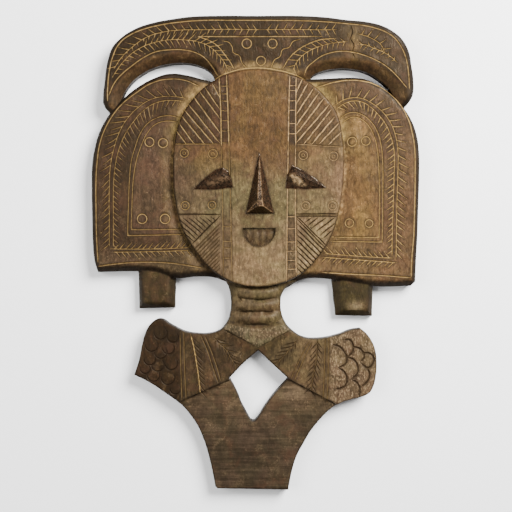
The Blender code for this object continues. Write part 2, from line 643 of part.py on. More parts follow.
def build_mask():
    """The board's parts reach below its back by different depths, and the back is planed flat."""
    face_top = WING_THICKNESS + FACE_RISE
    mask = slab("carved_mask", WINGS, -OVERLAP, WING_THICKNESS, round_edge(WING_EDGE))
    combine(mask, cove_cutter(), "DIFFERENCE")

    body = slab("body", BODY, -2 * OVERLAP, BODY_THICKNESS)
    hole = slab("diamond_hole", DIAMOND_HOLE, -3 * OVERLAP, BODY_THICKNESS + OVERLAP)
    foot = slab("foot", FOOT, BODY_THICKNESS - FOOT_DROP, BODY_THICKNESS + OVERLAP, steps=1)
    combine(body, hole, "DIFFERENCE")
    combine(body, foot, "DIFFERENCE")
    combine(mask, body, "UNION")
    crest = slab("crest", CREST, -3 * OVERLAP, CREST_THICKNESS, round_edge(CREST_EDGE))
    combine(mask, crest, "UNION")
    chamfer = [(TAB_EDGE, TAB_EDGE)]
    left_tab = slab("left_tab", LEFT_TAB, -4 * OVERLAP, TAB_THICKNESS, chamfer, 1)
    combine(mask, left_tab, "UNION")
    right_tab = slab("right_tab", RIGHT_TAB, -5 * OVERLAP, TAB_THICKNESS, chamfer, 1)
    combine(mask, right_tab, "UNION")
    combine(mask, slab("planing", PLANING, -6 * OVERLAP, 0.0, steps=1), "DIFFERENCE")
    face = slab("face", FACE, OVERLAP, face_top, round_edge(FACE_RIM))
    combine(mask, face, "UNION")
    collar_top = BODY_THICKNESS + COLLAR_RISE
    collar = slab("collar", COLLAR, OVERLAP, collar_top, [(COLLAR_RISE, COLLAR_RISE)])
    combine(mask, collar, "UNION")
    add_neck_rings(mask)
    add_features(mask, face_top)
    add_mouth(mask, face_top)

    outline = face_polygon()
    wing_lines = [LEFT_BORDER, RIGHT_BORDER] + WING_LINES
    cutters = carving(
        "crest", CREST_THICKNESS, [CREST_BORDER] + CREST_LINES, CREST_CIRCLES, CREST_STEMS
    )
    cutters += carving("wing", WING_THICKNESS, wing_lines, WING_CIRCLES, WING_STEMS)
    cutters += carving("arm", BODY_THICKNESS, ARM_LINES + SHOULDER_SCALES, [], ARM_STEMS)
    cutters += carving("face", face_top, face_long_lines(outline), FACE_CIRCLES, [])
    hatching = face_hatching(outline)
    cutters.append(engraving("hatching", hatching, HATCH_WIDTH, HATCH_DEPTH, face_top, 1))
    combine(mask, join_meshes("carving", cutters), "DIFFERENCE", crossing=True)
    return mask


clear_scene()
MASK = make_collection("Tribal mask")
SHAPING = make_collection("Shaping")
mask = build_mask()
SHAPING.objects.unlink(mask)
MASK.objects.link(mask)
mask.hide_render = False
mask.display_type = "TEXTURED"
wood = bpy.data.materials.new("carved_wood")
wood.use_nodes = True
shader = wood.node_tree.nodes["Principled BSDF"]
shader.inputs["Base Color"].default_value = WOOD_BROWN
shader.inputs["Roughness"].default_value = 0.5
mask.data.materials.append(wood)
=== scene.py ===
"""A carved wooden mask on a flat board, lying on its back on a pale floor.

X runs across the mask, Y from its foot to its crest, and Z out of the carved front. Outlines and
lines are given in plan millimetres on a mask 520 high, measured from its middle.
"""

import math
import random

import bmesh
import bpy
import numpy as np
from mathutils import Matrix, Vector, kdtree, noise
from mathutils.geometry import delaunay_2d_cdt


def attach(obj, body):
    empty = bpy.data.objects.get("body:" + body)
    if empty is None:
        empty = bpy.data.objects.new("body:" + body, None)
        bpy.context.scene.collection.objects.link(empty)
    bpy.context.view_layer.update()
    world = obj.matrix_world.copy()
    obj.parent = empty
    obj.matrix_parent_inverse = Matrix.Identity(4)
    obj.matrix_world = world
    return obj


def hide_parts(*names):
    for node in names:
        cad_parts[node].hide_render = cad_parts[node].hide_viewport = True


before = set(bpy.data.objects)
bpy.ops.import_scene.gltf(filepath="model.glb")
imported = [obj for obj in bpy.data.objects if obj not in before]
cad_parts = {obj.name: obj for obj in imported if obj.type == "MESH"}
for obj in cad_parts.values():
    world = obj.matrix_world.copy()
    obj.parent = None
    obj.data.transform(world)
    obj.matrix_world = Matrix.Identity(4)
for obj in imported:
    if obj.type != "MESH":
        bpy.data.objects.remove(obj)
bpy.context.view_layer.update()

bl_info = {
    "name": "Carved Wooden Mask",
    "version": (1, 0, 0),
    "blender": (4, 5, 0),
    "location": "View3D > Sidebar > Mask",
    "description": "Carves a wooden mask with engraved panels and lays it on a pale floor",
    "category": "Add Mesh",
}

NODE = "carved_mask"
SHARP = True  # marks a corner in an outline

# Outlines of the forms, as points in plan millimetres
CREST_TOP = [
    (-156.5, 150.5, SHARP), (-166, 161.5), (-167, 172.5), (-165.5, 186), (-163.5, 203.5),
    (-161, 214.5), (-157.5, 224.5), (-149, 234.5), (-133.5, 245), (-116, 251.5), (-94, 256),
    (-72, 259), (-48, 260), (-0.5, 260), (49, 260), (76.5, 258.5), (100.5, 255.5), (121.5, 253.5),
    (138, 249.5), (150, 243.5), (160.5, 234.5), (168, 221), (171, 205.5), (173, 190.5), (173, 176),
    (170.5, 168.5), (161, 157, SHARP),
]
CREST_UNDER = [
    (161, 157, SHARP), (154, 166.5, SHARP), (147, 180.5), (133.5, 192), (119.5, 199.5),
    (104, 202.5), (87.5, 202.5), (72, 199.5), (62, 194), (59.5, 189.5, SHARP), (7, 177),
    (-44, 187.5, SHARP), (-47.5, 197), (-54.5, 202.5), (-65.5, 207), (-80, 209), (-94, 208),
    (-110.5, 204), (-126, 196), (-138, 185.5), (-146.5, 171), (-149.5, 159.5, SHARP),
    (-156.5, 150.5, SHARP),
]
CREST = CREST_TOP + CREST_UNDER[1:-1]
WINGS_TOP = [
    (-173, -21, SHARP), (-176.5, -10), (-178.5, 9), (-179.5, 42), (-180, 75), (-179.5, 97),
    (-177, 113.5), (-172.5, 130), (-166, 144), (-158, 155.5), (-144.5, 170), (-129, 182.5),
    (-111.5, 192), (-94, 197), (-76.5, 195.5), (-59, 191), (-43.5, 187.5, SHARP), (7, 196),
    (60, 191, SHARP), (76.5, 191.5), (98.5, 192.5), (117, 191.5), (132.5, 185.5), (148, 175),
    (161, 161.5), (171, 146.5), (177, 130), (179.5, 113.5), (180, 86), (179, 53), (178, 20),
    (176.5, -7.5), (175.5, -31.5, SHARP), (170.5, -36, SHARP),
]
WINGS_FOOT = [
    (170.5, -36, SHARP), (130.5, -36.5), (98.5, -31.5), (69, -27.5), (51, -29), (36, -37.5, SHARP),
    (3, -51.5), (-34.5, -30.5, SHARP), (-47, -26.5), (-66.5, -26), (-87.5, -27.5), (-110.5, -21.5),
    (-130.5, -20), (-173, -21, SHARP),
]
WINGS = WINGS_TOP + WINGS_FOOT[1:-1]
BODY = [
    (-34.5, -28.5, SHARP), (-29.5, -37.5), (-27, -50.5), (-27.5, -64), (-31.5, -75.5), (-38.5, -84),
    (-49, -88), (-62, -88.5), (-77.5, -86), (-93, -78.5), (-102, -73), (-107.5, -72.5),
    (-115, -77.5), (-120.5, -87), (-124.5, -101), (-127.5, -116.5), (-133, -133.5, SHARP),
    (-116, -142), (-99.5, -153), (-83, -165), (-72, -177), (-62.5, -191.5), (-56, -207),
    (-51, -223.5), (-47.5, -238.5), (-44, -256.5, SHARP), (-42, -258.5, SHARP), (36, -260, SHARP),
    (37.5, -251), (41, -235.5), (46, -221), (52.5, -209), (60.5, -195.5), (71, -182.5),
    (82, -171.5), (91, -165.5), (104, -161), (117, -157.5), (125, -153.5), (129, -147),
    (132, -135.5), (133, -121), (131.5, -106.5), (127, -95.5), (121.5, -88), (115, -82.5, SHARP),
    (104, -84.5), (92, -89), (78.5, -92.5), (65.5, -94), (52.5, -92.5), (42, -86.5), (33.5, -77.5),
    (29, -67), (27.5, -55), (29, -45), (35, -37), (44.5, -31, SHARP), (3, -18.5),
]
DIAMOND_HOLE = [
    (3, -106.5, SHARP), (-14, -121.5), (-29, -137.5, SHARP), (-21.5, -150.5), (-14, -168.5),
    (-8, -179.5), (-5, -184), (-1.5, -184.5), (2, -181), (11, -167), (21.5, -153.5),
    (36, -137.5, SHARP), (18, -121),
]
FACE = [
    (-0.5, 201), (21.5, 199), (44.5, 193), (63.5, 183), (78.5, 168.5), (89.5, 152), (95.5, 124.5),
    (97, 97), (95.5, 71.5), (91, 44), (82, 16.5), (66.5, -7), (47, -25), (25, -34.5), (0.5, -37.5),
    (-21.5, -34), (-43.5, -22), (-65.5, 1.5), (-81, 28.5), (-88, 58.5), (-90, 86), (-89, 115.5),
    (-83, 144), (-70, 166.5), (-50, 185.5), (-26, 197),
]
LEFT_TAB = [(-129, -15), (-128, -61), (-89, -60), (-88, -15)]
LEFT_TAB_EDGES = [4.0, 6.0, 8.0, 0.0]  # how wide each side is chamfered
RIGHT_TAB = [(83.5, -24), (88.5, -68.5), (128.5, -69.5), (129.5, -24)]
RIGHT_TAB_EDGES = [11.0, 6.5, 5.5, 0.0]
COLLAR = [
    (-32, -77.5, SHARP), (3, -82), (33, -77.5, SHARP), (38.5, -84.5, SHARP), (3, -104, SHARP),
    (-36.5, -83, SHARP),
]
FOOT = [
    (-83, -162.5, SHARP), (-29, -138.5, SHARP), (36, -137.5, SHARP), (91, -166.5, SHARP),
    (100, -290, SHARP), (-100, -290, SHARP),
]
LEFT_PANEL = [
    (-84, 149), (-96, 150.5), (-108, 148), (-118.5, 141.5), (-126, 131), (-131.5, 116.5),
    (-136, 100), (-138, 78), (-139, 53), (-140, 19, SHARP), (-77.5, 20.5, SHARP),
]
RIGHT_PANEL = [
    (93, 147.5), (100, 152.5), (108.5, 154), (117, 151.5), (126, 144.5), (133, 134), (137.5, 119),
    (139.3, 100), (139.5, 58.5), (139, 12, SHARP), (83, 13, SHARP),
]
NOSE_FOOT = [(4, 109), (-10.5, 43), (20, 43)]
NOSE_RIDGE = [((4, 104.5), 0.12), ((2.3, 56), 0.93), ((7.2, 56), 0.93), ((2.2, 50.5), 0.95),
              ((8.2, 50.5), 0.95)]
LEFT_EYE_FOOT = [
    (-67.5, 69.5), (-61, 76), (-52, 84), (-43.5, 90.5), (-36, 93), (-30, 89), (-26.5, 80.5),
    (-24.5, 71.5), (-45, 69),
]
LEFT_EYE_RIDGE = [((-57.5, 73.8), 0.27), ((-44, 82), 0.85), ((-36, 84.5), 1.0), ((-30, 80.5), 0.9)]
RIGHT_EYE_FOOT = [
    (40, 95.5), (51, 90), (64.5, 81.5), (77, 71), (54.5, 69.5), (32.5, 70.5), (34, 84),
]
RIGHT_EYE_RIDGE = [((68, 75), 0.27), ((39, 83), 0.95), ((45, 84.5), 1.0), ((56, 80), 0.75)]

# Engraved lines, smooth through their points
CREST_BORDER = [
    (-161.5, 166), (-161.3, 182), (-159.5, 200), (-156, 214), (-148.6, 229), (-136.5, 238.6),
    (-124, 244), (-107, 248.6), (-83, 252.2), (-55.5, 254.2), (-22.5, 254.2), (16, 254.2),
    (49, 253.9), (76.5, 252.6), (101, 250.4), (118, 248.6), (132.4, 245.4), (142.6, 241.4),
    (151.4, 235.6), (157.7, 228), (163, 217.5), (166.2, 205.8), (167.6, 193.2), (168.2, 179),
]
LEFT_CRESCENT = [
    (-160, 172.5), (-154.5, 185), (-146, 195.5), (-135, 204.5), (-121.5, 214), (-108.5, 220),
    (-94, 222), (-78.5, 222), (-65.5, 219), (-55.5, 213.5), (-48, 205), (-41, 194),
]
RIGHT_CRESCENT = [
    (53.5, 195), (56.5, 202.5), (63.5, 209), (72, 215), (83, 219), (95, 220.5), (106, 219.5),
    (118, 216.5), (131.5, 211), (144.5, 203), (155.5, 192.5), (165.5, 180.5),
]
CREST_BAR = [(-61, 236.5), (73, 236.5)]
LEFT_ARC = [(-61, 236), (-50, 232), (-40.5, 225.5), (-32.5, 215.5), (-26.5, 207), (-23.5, 201.5)]
RIGHT_ARC = [(86.5, 234.5), (71, 233), (58, 228.5), (46, 221.5), (37.5, 213.5), (30.5, 202.5)]
LEFT_SCALLOP = [
    (-36, 231.5), (-29.5, 230.5), (-25.5, 225.5), (-24, 219), (-17.5, 215.5), (-15, 208.5),
    (-9.5, 202),
]
RIGHT_SCALLOP = [
    (49, 233.5), (41, 231), (37, 225), (29.5, 222), (27, 215), (21, 211), (17, 202),
]
TOP_STEM_LEFT = [
    (5, 244), (-28, 244.5), (-61, 244), (-85, 243.5), (-105, 240.5), (-119.5, 235.5),
    (-133.5, 226), (-146, 214), (-154.5, 201.5),
]
TOP_STEM_RIGHT = [(9, 244), (38, 244.5), (69, 244), (88.5, 244)]
LEFT_STEM = [
    (-155.5, 193.5), (-148, 204.5), (-138, 215.5), (-126, 224), (-110.5, 230), (-94, 233),
    (-77.5, 233), (-63.5, 231), (-51.5, 226.5), (-42.5, 219), (-35, 210), (-30.5, 201.5),
]
RIGHT_STEM = [
    (100.5, 231), (89.5, 230), (77.5, 228), (66.5, 224.5), (58, 220.5), (50, 214.5), (44.5, 207.5),
    (41, 199),
]
FAR_STEM = [
    (154.6, 208.3), (148.9, 214), (141.9, 218.5), (135.6, 221.5), (128.7, 224.1), (121.1, 227.3),
    (112.9, 227.9),
]
FAR_TOP_STEM = [
    (112.3, 239.6), (122.4, 236.7), (129.9, 233), (135.6, 229.2), (139.4, 224.1), (140.9, 219),
]
CREST_CRACK = [(104.5, 248), (106, 241), (104, 234), (107.5, 227), (106, 219), (109, 213)]
FACE_EDGE_GOLD = [
    (-66, 170.5), (-50, 186.8), (-26, 198.2), (-0.5, 202.2), (21.5, 200.2), (44.5, 194.2),
    (64, 184), (79.4, 169.2), (90.6, 152.4), (96.8, 124.5),
]
LEFT_BORDER = [
    (-172.5, -10), (-174, 20), (-174.5, 47.5), (-174.5, 80), (-173, 102.5), (-170, 121),
    (-164, 137.5), (-155.5, 152), (-144.5, 164.5), (-130, 176), (-114, 186), (-94, 190.5),
    (-76.5, 189), (-62, 183),
]
LEFT_OUTER_STEM = [
    (-75.5, 169.5), (-85, 171), (-99.5, 171.5), (-114, 168.5), (-127, 160.5), (-138, 150),
    (-147, 136.5), (-154, 117.5), (-158.5, 97), (-160, 69.5), (-160, 42), (-160, 7.5),
]
LEFT_INNER_STEM = [
    (-78.5, 166.5), (-87.5, 167), (-98.5, 167), (-111.5, 163.5), (-124, 155), (-133.5, 144),
    (-142.5, 130.5), (-149.5, 113.5), (-154, 91.5), (-155.5, 69.5), (-155.5, 42), (-155.5, 7.5),
]
LEFT_PANEL_INNER = [
    (-86, 144), (-98.5, 144.5), (-109.5, 141), (-118, 132), (-124.5, 119), (-130, 102.5),
    (-133.5, 82.5), (-135, 58), (-136, 25.5, SHARP), (-80.5, 26),
]
LEFT_LOW_STEM = [(-158, 4.5), (-116, 4.5), (-72, 6)]
LEFT_LOW_STEM_2 = [(-155.5, 1), (-116, 1.5), (-70, 3)]
LEFT_BASE = [(-172, -14.5), (-149, -11.5), (-121.5, -10), (-94, -11), (-69, -14.5), (-58, -16.5)]
RIGHT_BORDER = [
    (67.5, 181.5), (82, 186), (99.5, 189), (116, 188.5), (131.5, 184.5), (146, 176), (158, 163.5),
    (167, 147.5), (172, 131), (174.5, 113.5), (175, 86), (174.5, 53), (173.5, 20), (171, -10),
    (170.5, -26),
]
RIGHT_OUTER_STEM = [
    (86.5, 161.5), (95, 167), (105, 170), (116, 169.5), (127, 164.5), (137, 157), (146, 146),
    (152.5, 132), (156, 113.5), (156, 86), (155, 53), (154.5, 20), (154, -6.5),
]
RIGHT_INNER_STEM = [
    (88.5, 158), (97, 163.5), (106, 166.5), (115, 166), (125, 161), (133.5, 153), (142.5, 141.5),
    (148.5, 127.5), (152, 111), (152, 86), (151, 53), (150, 20), (149.5, -3),
]
RIGHT_PANEL_INNER = [
    (95, 143), (102, 147.5), (109.5, 149), (117, 146), (125, 138), (130.5, 126.5), (133.5, 113.5),
    (135, 97), (136, 58.5), (135.5, 17, SHARP), (86, 17.5),
]
RIGHT_LOW_STEM = [(150, -5.5), (115, -3.5), (76.5, -0.5)]
RIGHT_LOW_STEM_2 = [(154.5, -10.5), (115, -7.5), (74, -4.5)]
RIGHT_BASE = [(170, -27), (137, -24.5), (104, -23), (73, -21)]
HIGH_RAILS = [
    [(-39.5, 190.5), (-37.8, 157.5), (-37, 117)], [(-31.5, 193.5), (-30, 157.5), (-28.8, 117)],
    [(37.5, 193.5), (36.5, 157.5), (35.8, 117)], [(44.5, 191.5), (44, 157.5), (43.8, 117)],
]
LOW_RAILS = [
    [(-37, 116), (-36, 69.5), (-35, -26.5)], [(-28.8, 116), (-27.5, 69.5), (-25.5, -31)],
    [(35.8, 116), (35, 69.5), (34, -31)], [(43.8, 116), (43.5, 69.5), (44.5, -25.5)],
]
LEFT_RUNGS = [182, 173.5, 165.5, 155, 144, 133, 120]
RIGHT_RUNGS = [182.5, 177, 166, 155.5, 141, 130]
LEFT_LOW_RUNGS = [28.5, 12.5, 5.5, -5.5]
RIGHT_LOW_RUNGS = [39.5, 26.5, 12, 2, -8, -17.5]
LEFT_FOREHEAD = [
    [(-47, 184.4), (-39, 170)], [(-55, 180.4), (-39, 156.5)], [(-61, 176.4), (-39, 147)],
    [(-67.7, 170.8), (-38.5, 130.9)], [(-72.9, 162), (-39, 119.9)],
    [(-77.3, 155.7), (-45.7, 118.8)], [(-80.9, 150.2), (-55.6, 118.8)],
    [(-82.5, 140.6), (-66.6, 118.8)], [(-86.1, 133.3), (-75.4, 118.8)],
]
RIGHT_FOREHEAD = [
    [(50.9, 189.2), (45, 176)], [(56.7, 184.4), (45, 163.7)], [(62.9, 178.8), (45, 151.7)],
    [(69, 174), (45, 139.7)], [(74.3, 168.4), (45, 130.1)], [(80.5, 162), (45, 120.5)],
    [(82.8, 156.4), (52.8, 118.8)], [(86.9, 149.3), (61.6, 118.8)], [(90.9, 141.4), (69.9, 119.4)],
    [(93.3, 131.8), (79.8, 118.3)],
]
BROW_LINES = [[(-88.5, 118.8), (-38, 118.8)], [(44.5, 118.5), (95.5, 115.5)]]
CHEEK_LINES = [
    [(-85.5, 42.2), (-38, 41.8)], [(43.5, 42.4), (90.5, 42.4)], [(43.5, 39.9), (89.5, 39.9)],
]
LEFT_CHEEK_BAR = [(-39.2, 39.7), (-68.8, 10.2)]
RIGHT_CHEEK_BARS = [[(45, 39.7), (77.3, 7.8)], [(45, 36.9), (75.5, 6)]]
RIGHT_CHEEK_FAN = [
    [(54.2, 33.3), (61.4, 38.5)], [(57.4, 30.1), (67.8, 38.2)], [(61.4, 27), (76.5, 38.2)],
    [(66.1, 23.8), (86, 38.2)], [(70.1, 19), (86.9, 32.6)], [(73.3, 15.8), (83.7, 24.5)],
]
ARM_LINES = [
    [(-82.5, -87), (-82, -120), (-80.5, -161.5)], [(-78.5, -86.5), (-77.8, -120), (-76, -159.5)],
    [(-60, -90), (-53, -106.5), (-47, -124.5), (-41, -142)],
    [(-55.5, -91), (-48.5, -107.5), (-42.5, -124.5), (-38, -140)],
    [(76.5, -93.5), (75.5, -128), (74, -160.5)], [(80.5, -93), (79.8, -128), (78.5, -163)],
    [(59, -97), (51.5, -111), (45, -124.5), (39, -137.5)],
    [(62, -98), (55, -112), (49, -125.5), (43, -139.5)],
]
LEFT_ARM_STEMS = [
    [(-71, -89), (-67.5, -103.5), (-64.5, -121), (-62, -137.5), (-60.5, -153)],
    [(-46, -91.5), (-39, -100), (-31.5, -106.5), (-27, -114.5), (-20.5, -124.5)],
]
RIGHT_ARM_STEMS = [
    [(68, -95), (67.5, -109), (65.5, -124.5), (62.5, -139.5), (61, -152)],
    [(46, -95.5), (38.5, -104.5), (30.5, -113.5), (22.5, -122)],
]
RIGHT_SCALES = [
    [(85, -100.5), (92, -103), (97.5, -109), (100, -116), (97.5, -122.5), (91, -125.5)],
    [(91, -126), (97, -130.5), (100, -137.5), (99, -144.5), (93, -148.5), (87.5, -149)],
    [(96.5, -95.5), (103, -95.5), (106.5, -100.5), (106.5, -108), (101, -114)],
    [(101, -114.5), (108, -117.5), (112, -124.5), (111.5, -132.5), (105, -138.5)],
    [(106, -139), (112, -143.5), (114.5, -150.5), (113.5, -157.5)],
    [(106.5, -103), (113, -104.5), (117.5, -108.5), (119, -114.5), (115.5, -119)],
    [(117, -109.5), (124, -110), (129, -114), (128.5, -121.5), (122.5, -126), (116, -120.5)],
    [(116, -121), (121.5, -126.5), (125, -133), (122.5, -141), (116, -146.5)],
]
# The left shoulder's scales, as (x, y, radius)
LEFT_SCALES = [
    (-90.8, -92.4, 6), (-104, -88, 7), (-113.9, -101.2, 7), (-104, -108.9, 7), (-116, -116.5, 6.5),
    (-95.5, -104.5, 6.5), (-107.3, -122.9, 7), (-92.5, -121.2, 7), (-96, -137, 7.5),
    (-112, -134, 7), (-121, -127, 5.5), (-88, -149, 6),
]
# Small rings, as (x, y, radius)
CREST_RINGS = [(-9.4, 228.8, 5.2), (18.7, 228.8, 5.0), (6.1, 210, 5.0)]
WING_RINGS = [
    (-116, 121.6, 5.0), (-101.2, 120.5, 5.0), (-124, 37.5, 5.2), (-99, 37.5, 5.2),
    (106, 122, 5.0), (121, 122.9, 4.8), (103, 33, 4.6), (124.5, 32.5, 4.2),
]
FACE_RINGS = [
    (-77.5, 109, 4.6), (-46.2, 108.3, 4.8), (-76.5, 51.8, 4.6), (-47.3, 52.3, 4.4),
    (52.2, 106.7, 4.8), (85.2, 105.6, 4.8), (55, 51.7, 4.6), (84.2, 51.7, 4.6),
]

# Leaves along the crest's stems: stem, side, lengths, leans in degrees, spacing, bare start
CREST_LEAVES = [
    (TOP_STEM_LEFT, -1, [8, 8.5, 9, 10.5, 10], (54, 52, 44), 1.3),
    (TOP_STEM_LEFT, 1, [7, 7, 0.9], (58, 58), 1.2),
    (TOP_STEM_RIGHT, 1, [8.5, 8.5, 7.5], (54,), 1.35),
    (TOP_STEM_RIGHT, -1, [6, 7.5, 8], (58,), 1.25),
    (LEFT_STEM, -1, [5, 7, 9, 9, 8.5, 9, 8], (60, 62, 55, 42)),
    (LEFT_STEM, 1, [6.5, 7, 8, 12, 14, 8], (52, 50, 42), 1.0, 46),
    (RIGHT_STEM, -1, [6, 9, 10, 11, 10], (40, 48, 55)),
    (RIGHT_STEM, 1, [6.5, 7, 8, 10, 9], (68, 60, 36)),
    (FAR_STEM, -1, [3, 5, 6], (42,), 1.3),
    (FAR_STEM, 1, [4, 5.5, 6], (60,), 1.1),
    (FAR_TOP_STEM, 1, [6, 9, 9, 9], (72,), 1.2),
]
# The same along the wings' stems, after their pigment
WING_LEAVES = [
    (0.56, LEFT_OUTER_STEM, -1, [12, 16, 17, 14, 12, 11, 11], (50, 42, 45), 1.2),
    (0.56, LEFT_INNER_STEM, 1, [9, 13, 12, 10, 9, 8, 8], (62, 62, 50, 45)),
    (1.0, RIGHT_OUTER_STEM, 1, [11, 12, 13, 12, 12, 11, 11], (60, 66, 50, 45), 1.25),
    (1.0, RIGHT_INNER_STEM, -1, [8, 10, 10, 10, 9, 8, 8], (62, 60, 50, 45)),
    (0.64, LEFT_LOW_STEM, 1, [9, 10, 9]),
    (0.64, LEFT_LOW_STEM_2, -1, [9, 9, 8]),
    (0.85, RIGHT_LOW_STEM, -1, [9, 10, 9]),
    (0.85, RIGHT_LOW_STEM_2, 1, [9, 9, 8]),
]

# Colours, in 255ths of sRGB
CREST_WOOD = (22, 14, 5)
# The left-hand woods are darker and the right-hand ones lighter, partly their own colour and partly
# painted shade on the left and painted light on the right
LEFT_WOOD = (33, 23, 13)
LEFT_PANEL_WOOD = (49, 36, 25)
RIGHT_WOOD = (60, 44, 26)
RIGHT_PANEL_WOOD = (78, 58, 30)
COVE_WOOD = (62, 48, 28)
FOREHEAD_WOOD = (60, 43, 22)
CHIN_WOOD = (82, 67, 45)
CHEEK_WOOD = (65, 56, 36)
NECK_WOOD = (55, 46, 29)
COLLAR_WOOD = (54, 48, 33)
ARM_WOOD = (41, 32, 19)
LEFT_SHOULDER_WOOD = (24, 15, 6)
RIGHT_SHOULDER_WOOD = (61, 49, 34)
FOOT_WOOD = (41, 33, 23)
TAB_WOOD = (33, 27, 12)
FEATURE_WOOD = (24, 12, 5)
BACK_WOOD = (36, 27, 19)

# Shapes in plan millimetres
PLAN_HEIGHT = 520
TURN = 0.16  # radians that a thinned line turns from point to point
LEAF_ROOT = 0.5  # where a leaf starts beside its stem
LEAF_BOW = -0.05  # how far a leaf bends, as a share of its length
CUT_REACH = 2.8  # how far from the ends of a cut its groove and the dirt and painted shadow beside it are looked for
EDGE_ROUND = 4.6  # the radius of the upper edges of the crest and the wings
CHAMFER = 6.0  # how far the hanging blocks slope down
AT_EDGE = -0.05  # how far outside an outline a point still belongs to it
AWAY = -50.0  # the height of a form where it has no wood
NECK_RINGS = [(-45.2, 6.6), (-58.4, 6.6), (-72.2, 6.2)]  # middle, half width
NECK_GROOVES = [-38.6, -51.8, -65.3, -79.0]  # above, between and below the rings
GRID_CORNER = (-190, -268)  # of the loose mesh points
GRID_SIZE = (380, 540)
ROW_RISE = 0.866  # between their rows, as a share of their spacing
# Lines this far inside an outline that the mesh follows
OFFSETS = [
    ("crest", (0.4, 1.6, 3.2, 5.0)), ("wings", (0.4, 1.6, 3.2, 5.0, 8.0)),
    ("body", (0.3, 1.0, 1.8)), ("hole", (-0.3, -1.0, -1.8)),
    ("face", (-13.5, -0.15, 0.25, 0.6, 1.6, 3.0, 4.6)), ("mouth", (0.5, 1.0)),
    ("collar", (1.2,)), ("foot", (0.9,)),
]


def linear(colour):
    """A colour in 255ths of sRGB, as linear shares."""
    shares = [part / 255 for part in colour]
    return [s / 12.92 if s <= 0.04045 else ((s + 0.055) / 1.055) ** 2.4 for s in shares]


def length(name, metres, about, **limits):
    """A setting in metres."""
    return bpy.props.FloatProperty(
        name=name, description=about, default=metres, unit="LENGTH", **limits)


def paint(name, colour, about):
    """A colour setting, given in 255ths of sRGB."""
    return bpy.props.FloatVectorProperty(
        name=name, description=about, default=linear(colour), subtype="COLOR", size=3)


class MaskSizes(bpy.types.PropertyGroup):
    """The carved forms."""
    height: length("Height", 0.520, "From the foot to the top of the crest", min=0.05)
    wing_thickness: length("Wing thickness", 0.020, "Of the side panels")
    crest_thickness: length("Crest thickness", 0.023, "Of the crest")
    body_thickness: length("Body thickness", 0.019, "Of the neck and lozenge")
    tab_thickness: length("Tab thickness", 0.016, "Of the two hanging blocks")
    face_rise: length("Face rise", 0.006, "Of the face above the side panels")
    face_crown: length("Face crown", 0.0009, "How far the middle of the face swells")
    cove_depth: length("Cove depth", 0.0022, "Of the scooped band round the face")
    cove_width: length("Cove width", 0.015, "Of the scooped band round the face")
    nose_rise: length("Nose rise", 0.0175, "Of the nose above the face")
    eye_rise: length("Eye rise", 0.0078, "Of the eyes above the face")
    mouth_depth: length("Mouth depth", 0.0026, "Of the mouth below the face")
    ring_rise: length("Neck ring rise", 0.0045, "Of the neck rings above the lozenge")
    foot_drop: length("Foot drop", 0.0020, "Of the plain foot below the arms")


class MaskCarving(bpy.types.PropertyGroup):
    """The engraving, and how finely it is meshed."""
    line_width: length("Line width", 0.0021, "Of the long engraved lines")
    line_depth: length("Line depth", 0.0009, "Of the long engraved lines")
    tick_width: length("Tick width", 0.0019, "Of the leaves along the stems")
    tick_depth: length("Tick depth", 0.0008, "Of the leaves along the stems")
    tick_pitch: length("Tick pitch", 0.0062, "Between leaves along a stem")
    waviness: length("Waviness", 0.00035, "How far the hand-worked faces wander")
    spacing: length("Mesh spacing", 0.0027, "Between mesh points on plain wood")


class MaskFinish(bpy.types.PropertyGroup):
    """Pigment, dirt and polish on the wood, with painted shade and painted sheen."""
    pigment: paint("Pigment", (124, 100, 60), "Rubbed into the upper engraving")
    chalk: paint("Chalk", (136, 110, 76), "Rubbed into the engraving of the face")
    groove: paint("Groove", (22, 14, 7), "Bare cuts")
    # Also painted shade on the edges, in the creases and beside the cuts
    grime_and_shade: paint("Grime", (15, 10, 6), "On worn edges and in corners")
    # Also painted sheen on the wood
    polish_and_sheen: paint("Polish", (118, 99, 74), "Where hands have rubbed the wood pale")
    roughness: bpy.props.FloatProperty(
        name="Roughness", description="Of the plain wood", default=0.42, min=0.0, max=1.0,
        subtype="FACTOR")


class StageLook(bpy.types.PropertyGroup):
    """The floor, the lights and the camera."""
    floor: bpy.props.FloatVectorProperty(
        name="Floor", description="Colour of the floor", subtype="COLOR", size=3,
        default=(0.96, 0.96, 0.96))
    key_power: bpy.props.FloatProperty(
        name="Key power", description="Of the soft light at the upper right", default=96.0,
        unit="POWER")
    fill_power: bpy.props.FloatProperty(
        name="Fill power", description="Of the light at the left", default=25.0, unit="POWER")
    sky: bpy.props.FloatProperty(
        name="Sky", description="Brightness of the surroundings", default=0.32)
    distance: length("Camera distance", 1.25, "Above the board")
    frame_width: length("Frame width", 0.5632, "What the camera takes in at the board")


# Lines

def bezier_path(points, closed):
    """Close points on the smooth line through the points, in plan millimetres."""
    data = bpy.data.curves.new("guide", "CURVE")
    data.dimensions = "3D"
    data.resolution_u = 10
    spline = data.splines.new("BEZIER")
    spline.bezier_points.add(len(points) - 1)
    for knot, point in zip(spline.bezier_points, points):
        knot.co = (point[0], point[1], 0)
        kind = "VECTOR" if len(point) > 2 else "AUTO"
        knot.handle_left_type = kind
        knot.handle_right_type = kind
    spline.use_cyclic_u = closed
    guide = bpy.data.objects.new("guide", data)
    bpy.context.scene.collection.objects.link(guide)
    depsgraph = bpy.context.evaluated_depsgraph_get()
    mesh = bpy.data.meshes.new_from_object(guide.evaluated_get(depsgraph))
    path = np.array([v.co[:2] for v in mesh.vertices])
    bpy.data.objects.remove(guide)
    bpy.data.curves.remove(data)
    bpy.data.meshes.remove(mesh)
    return path


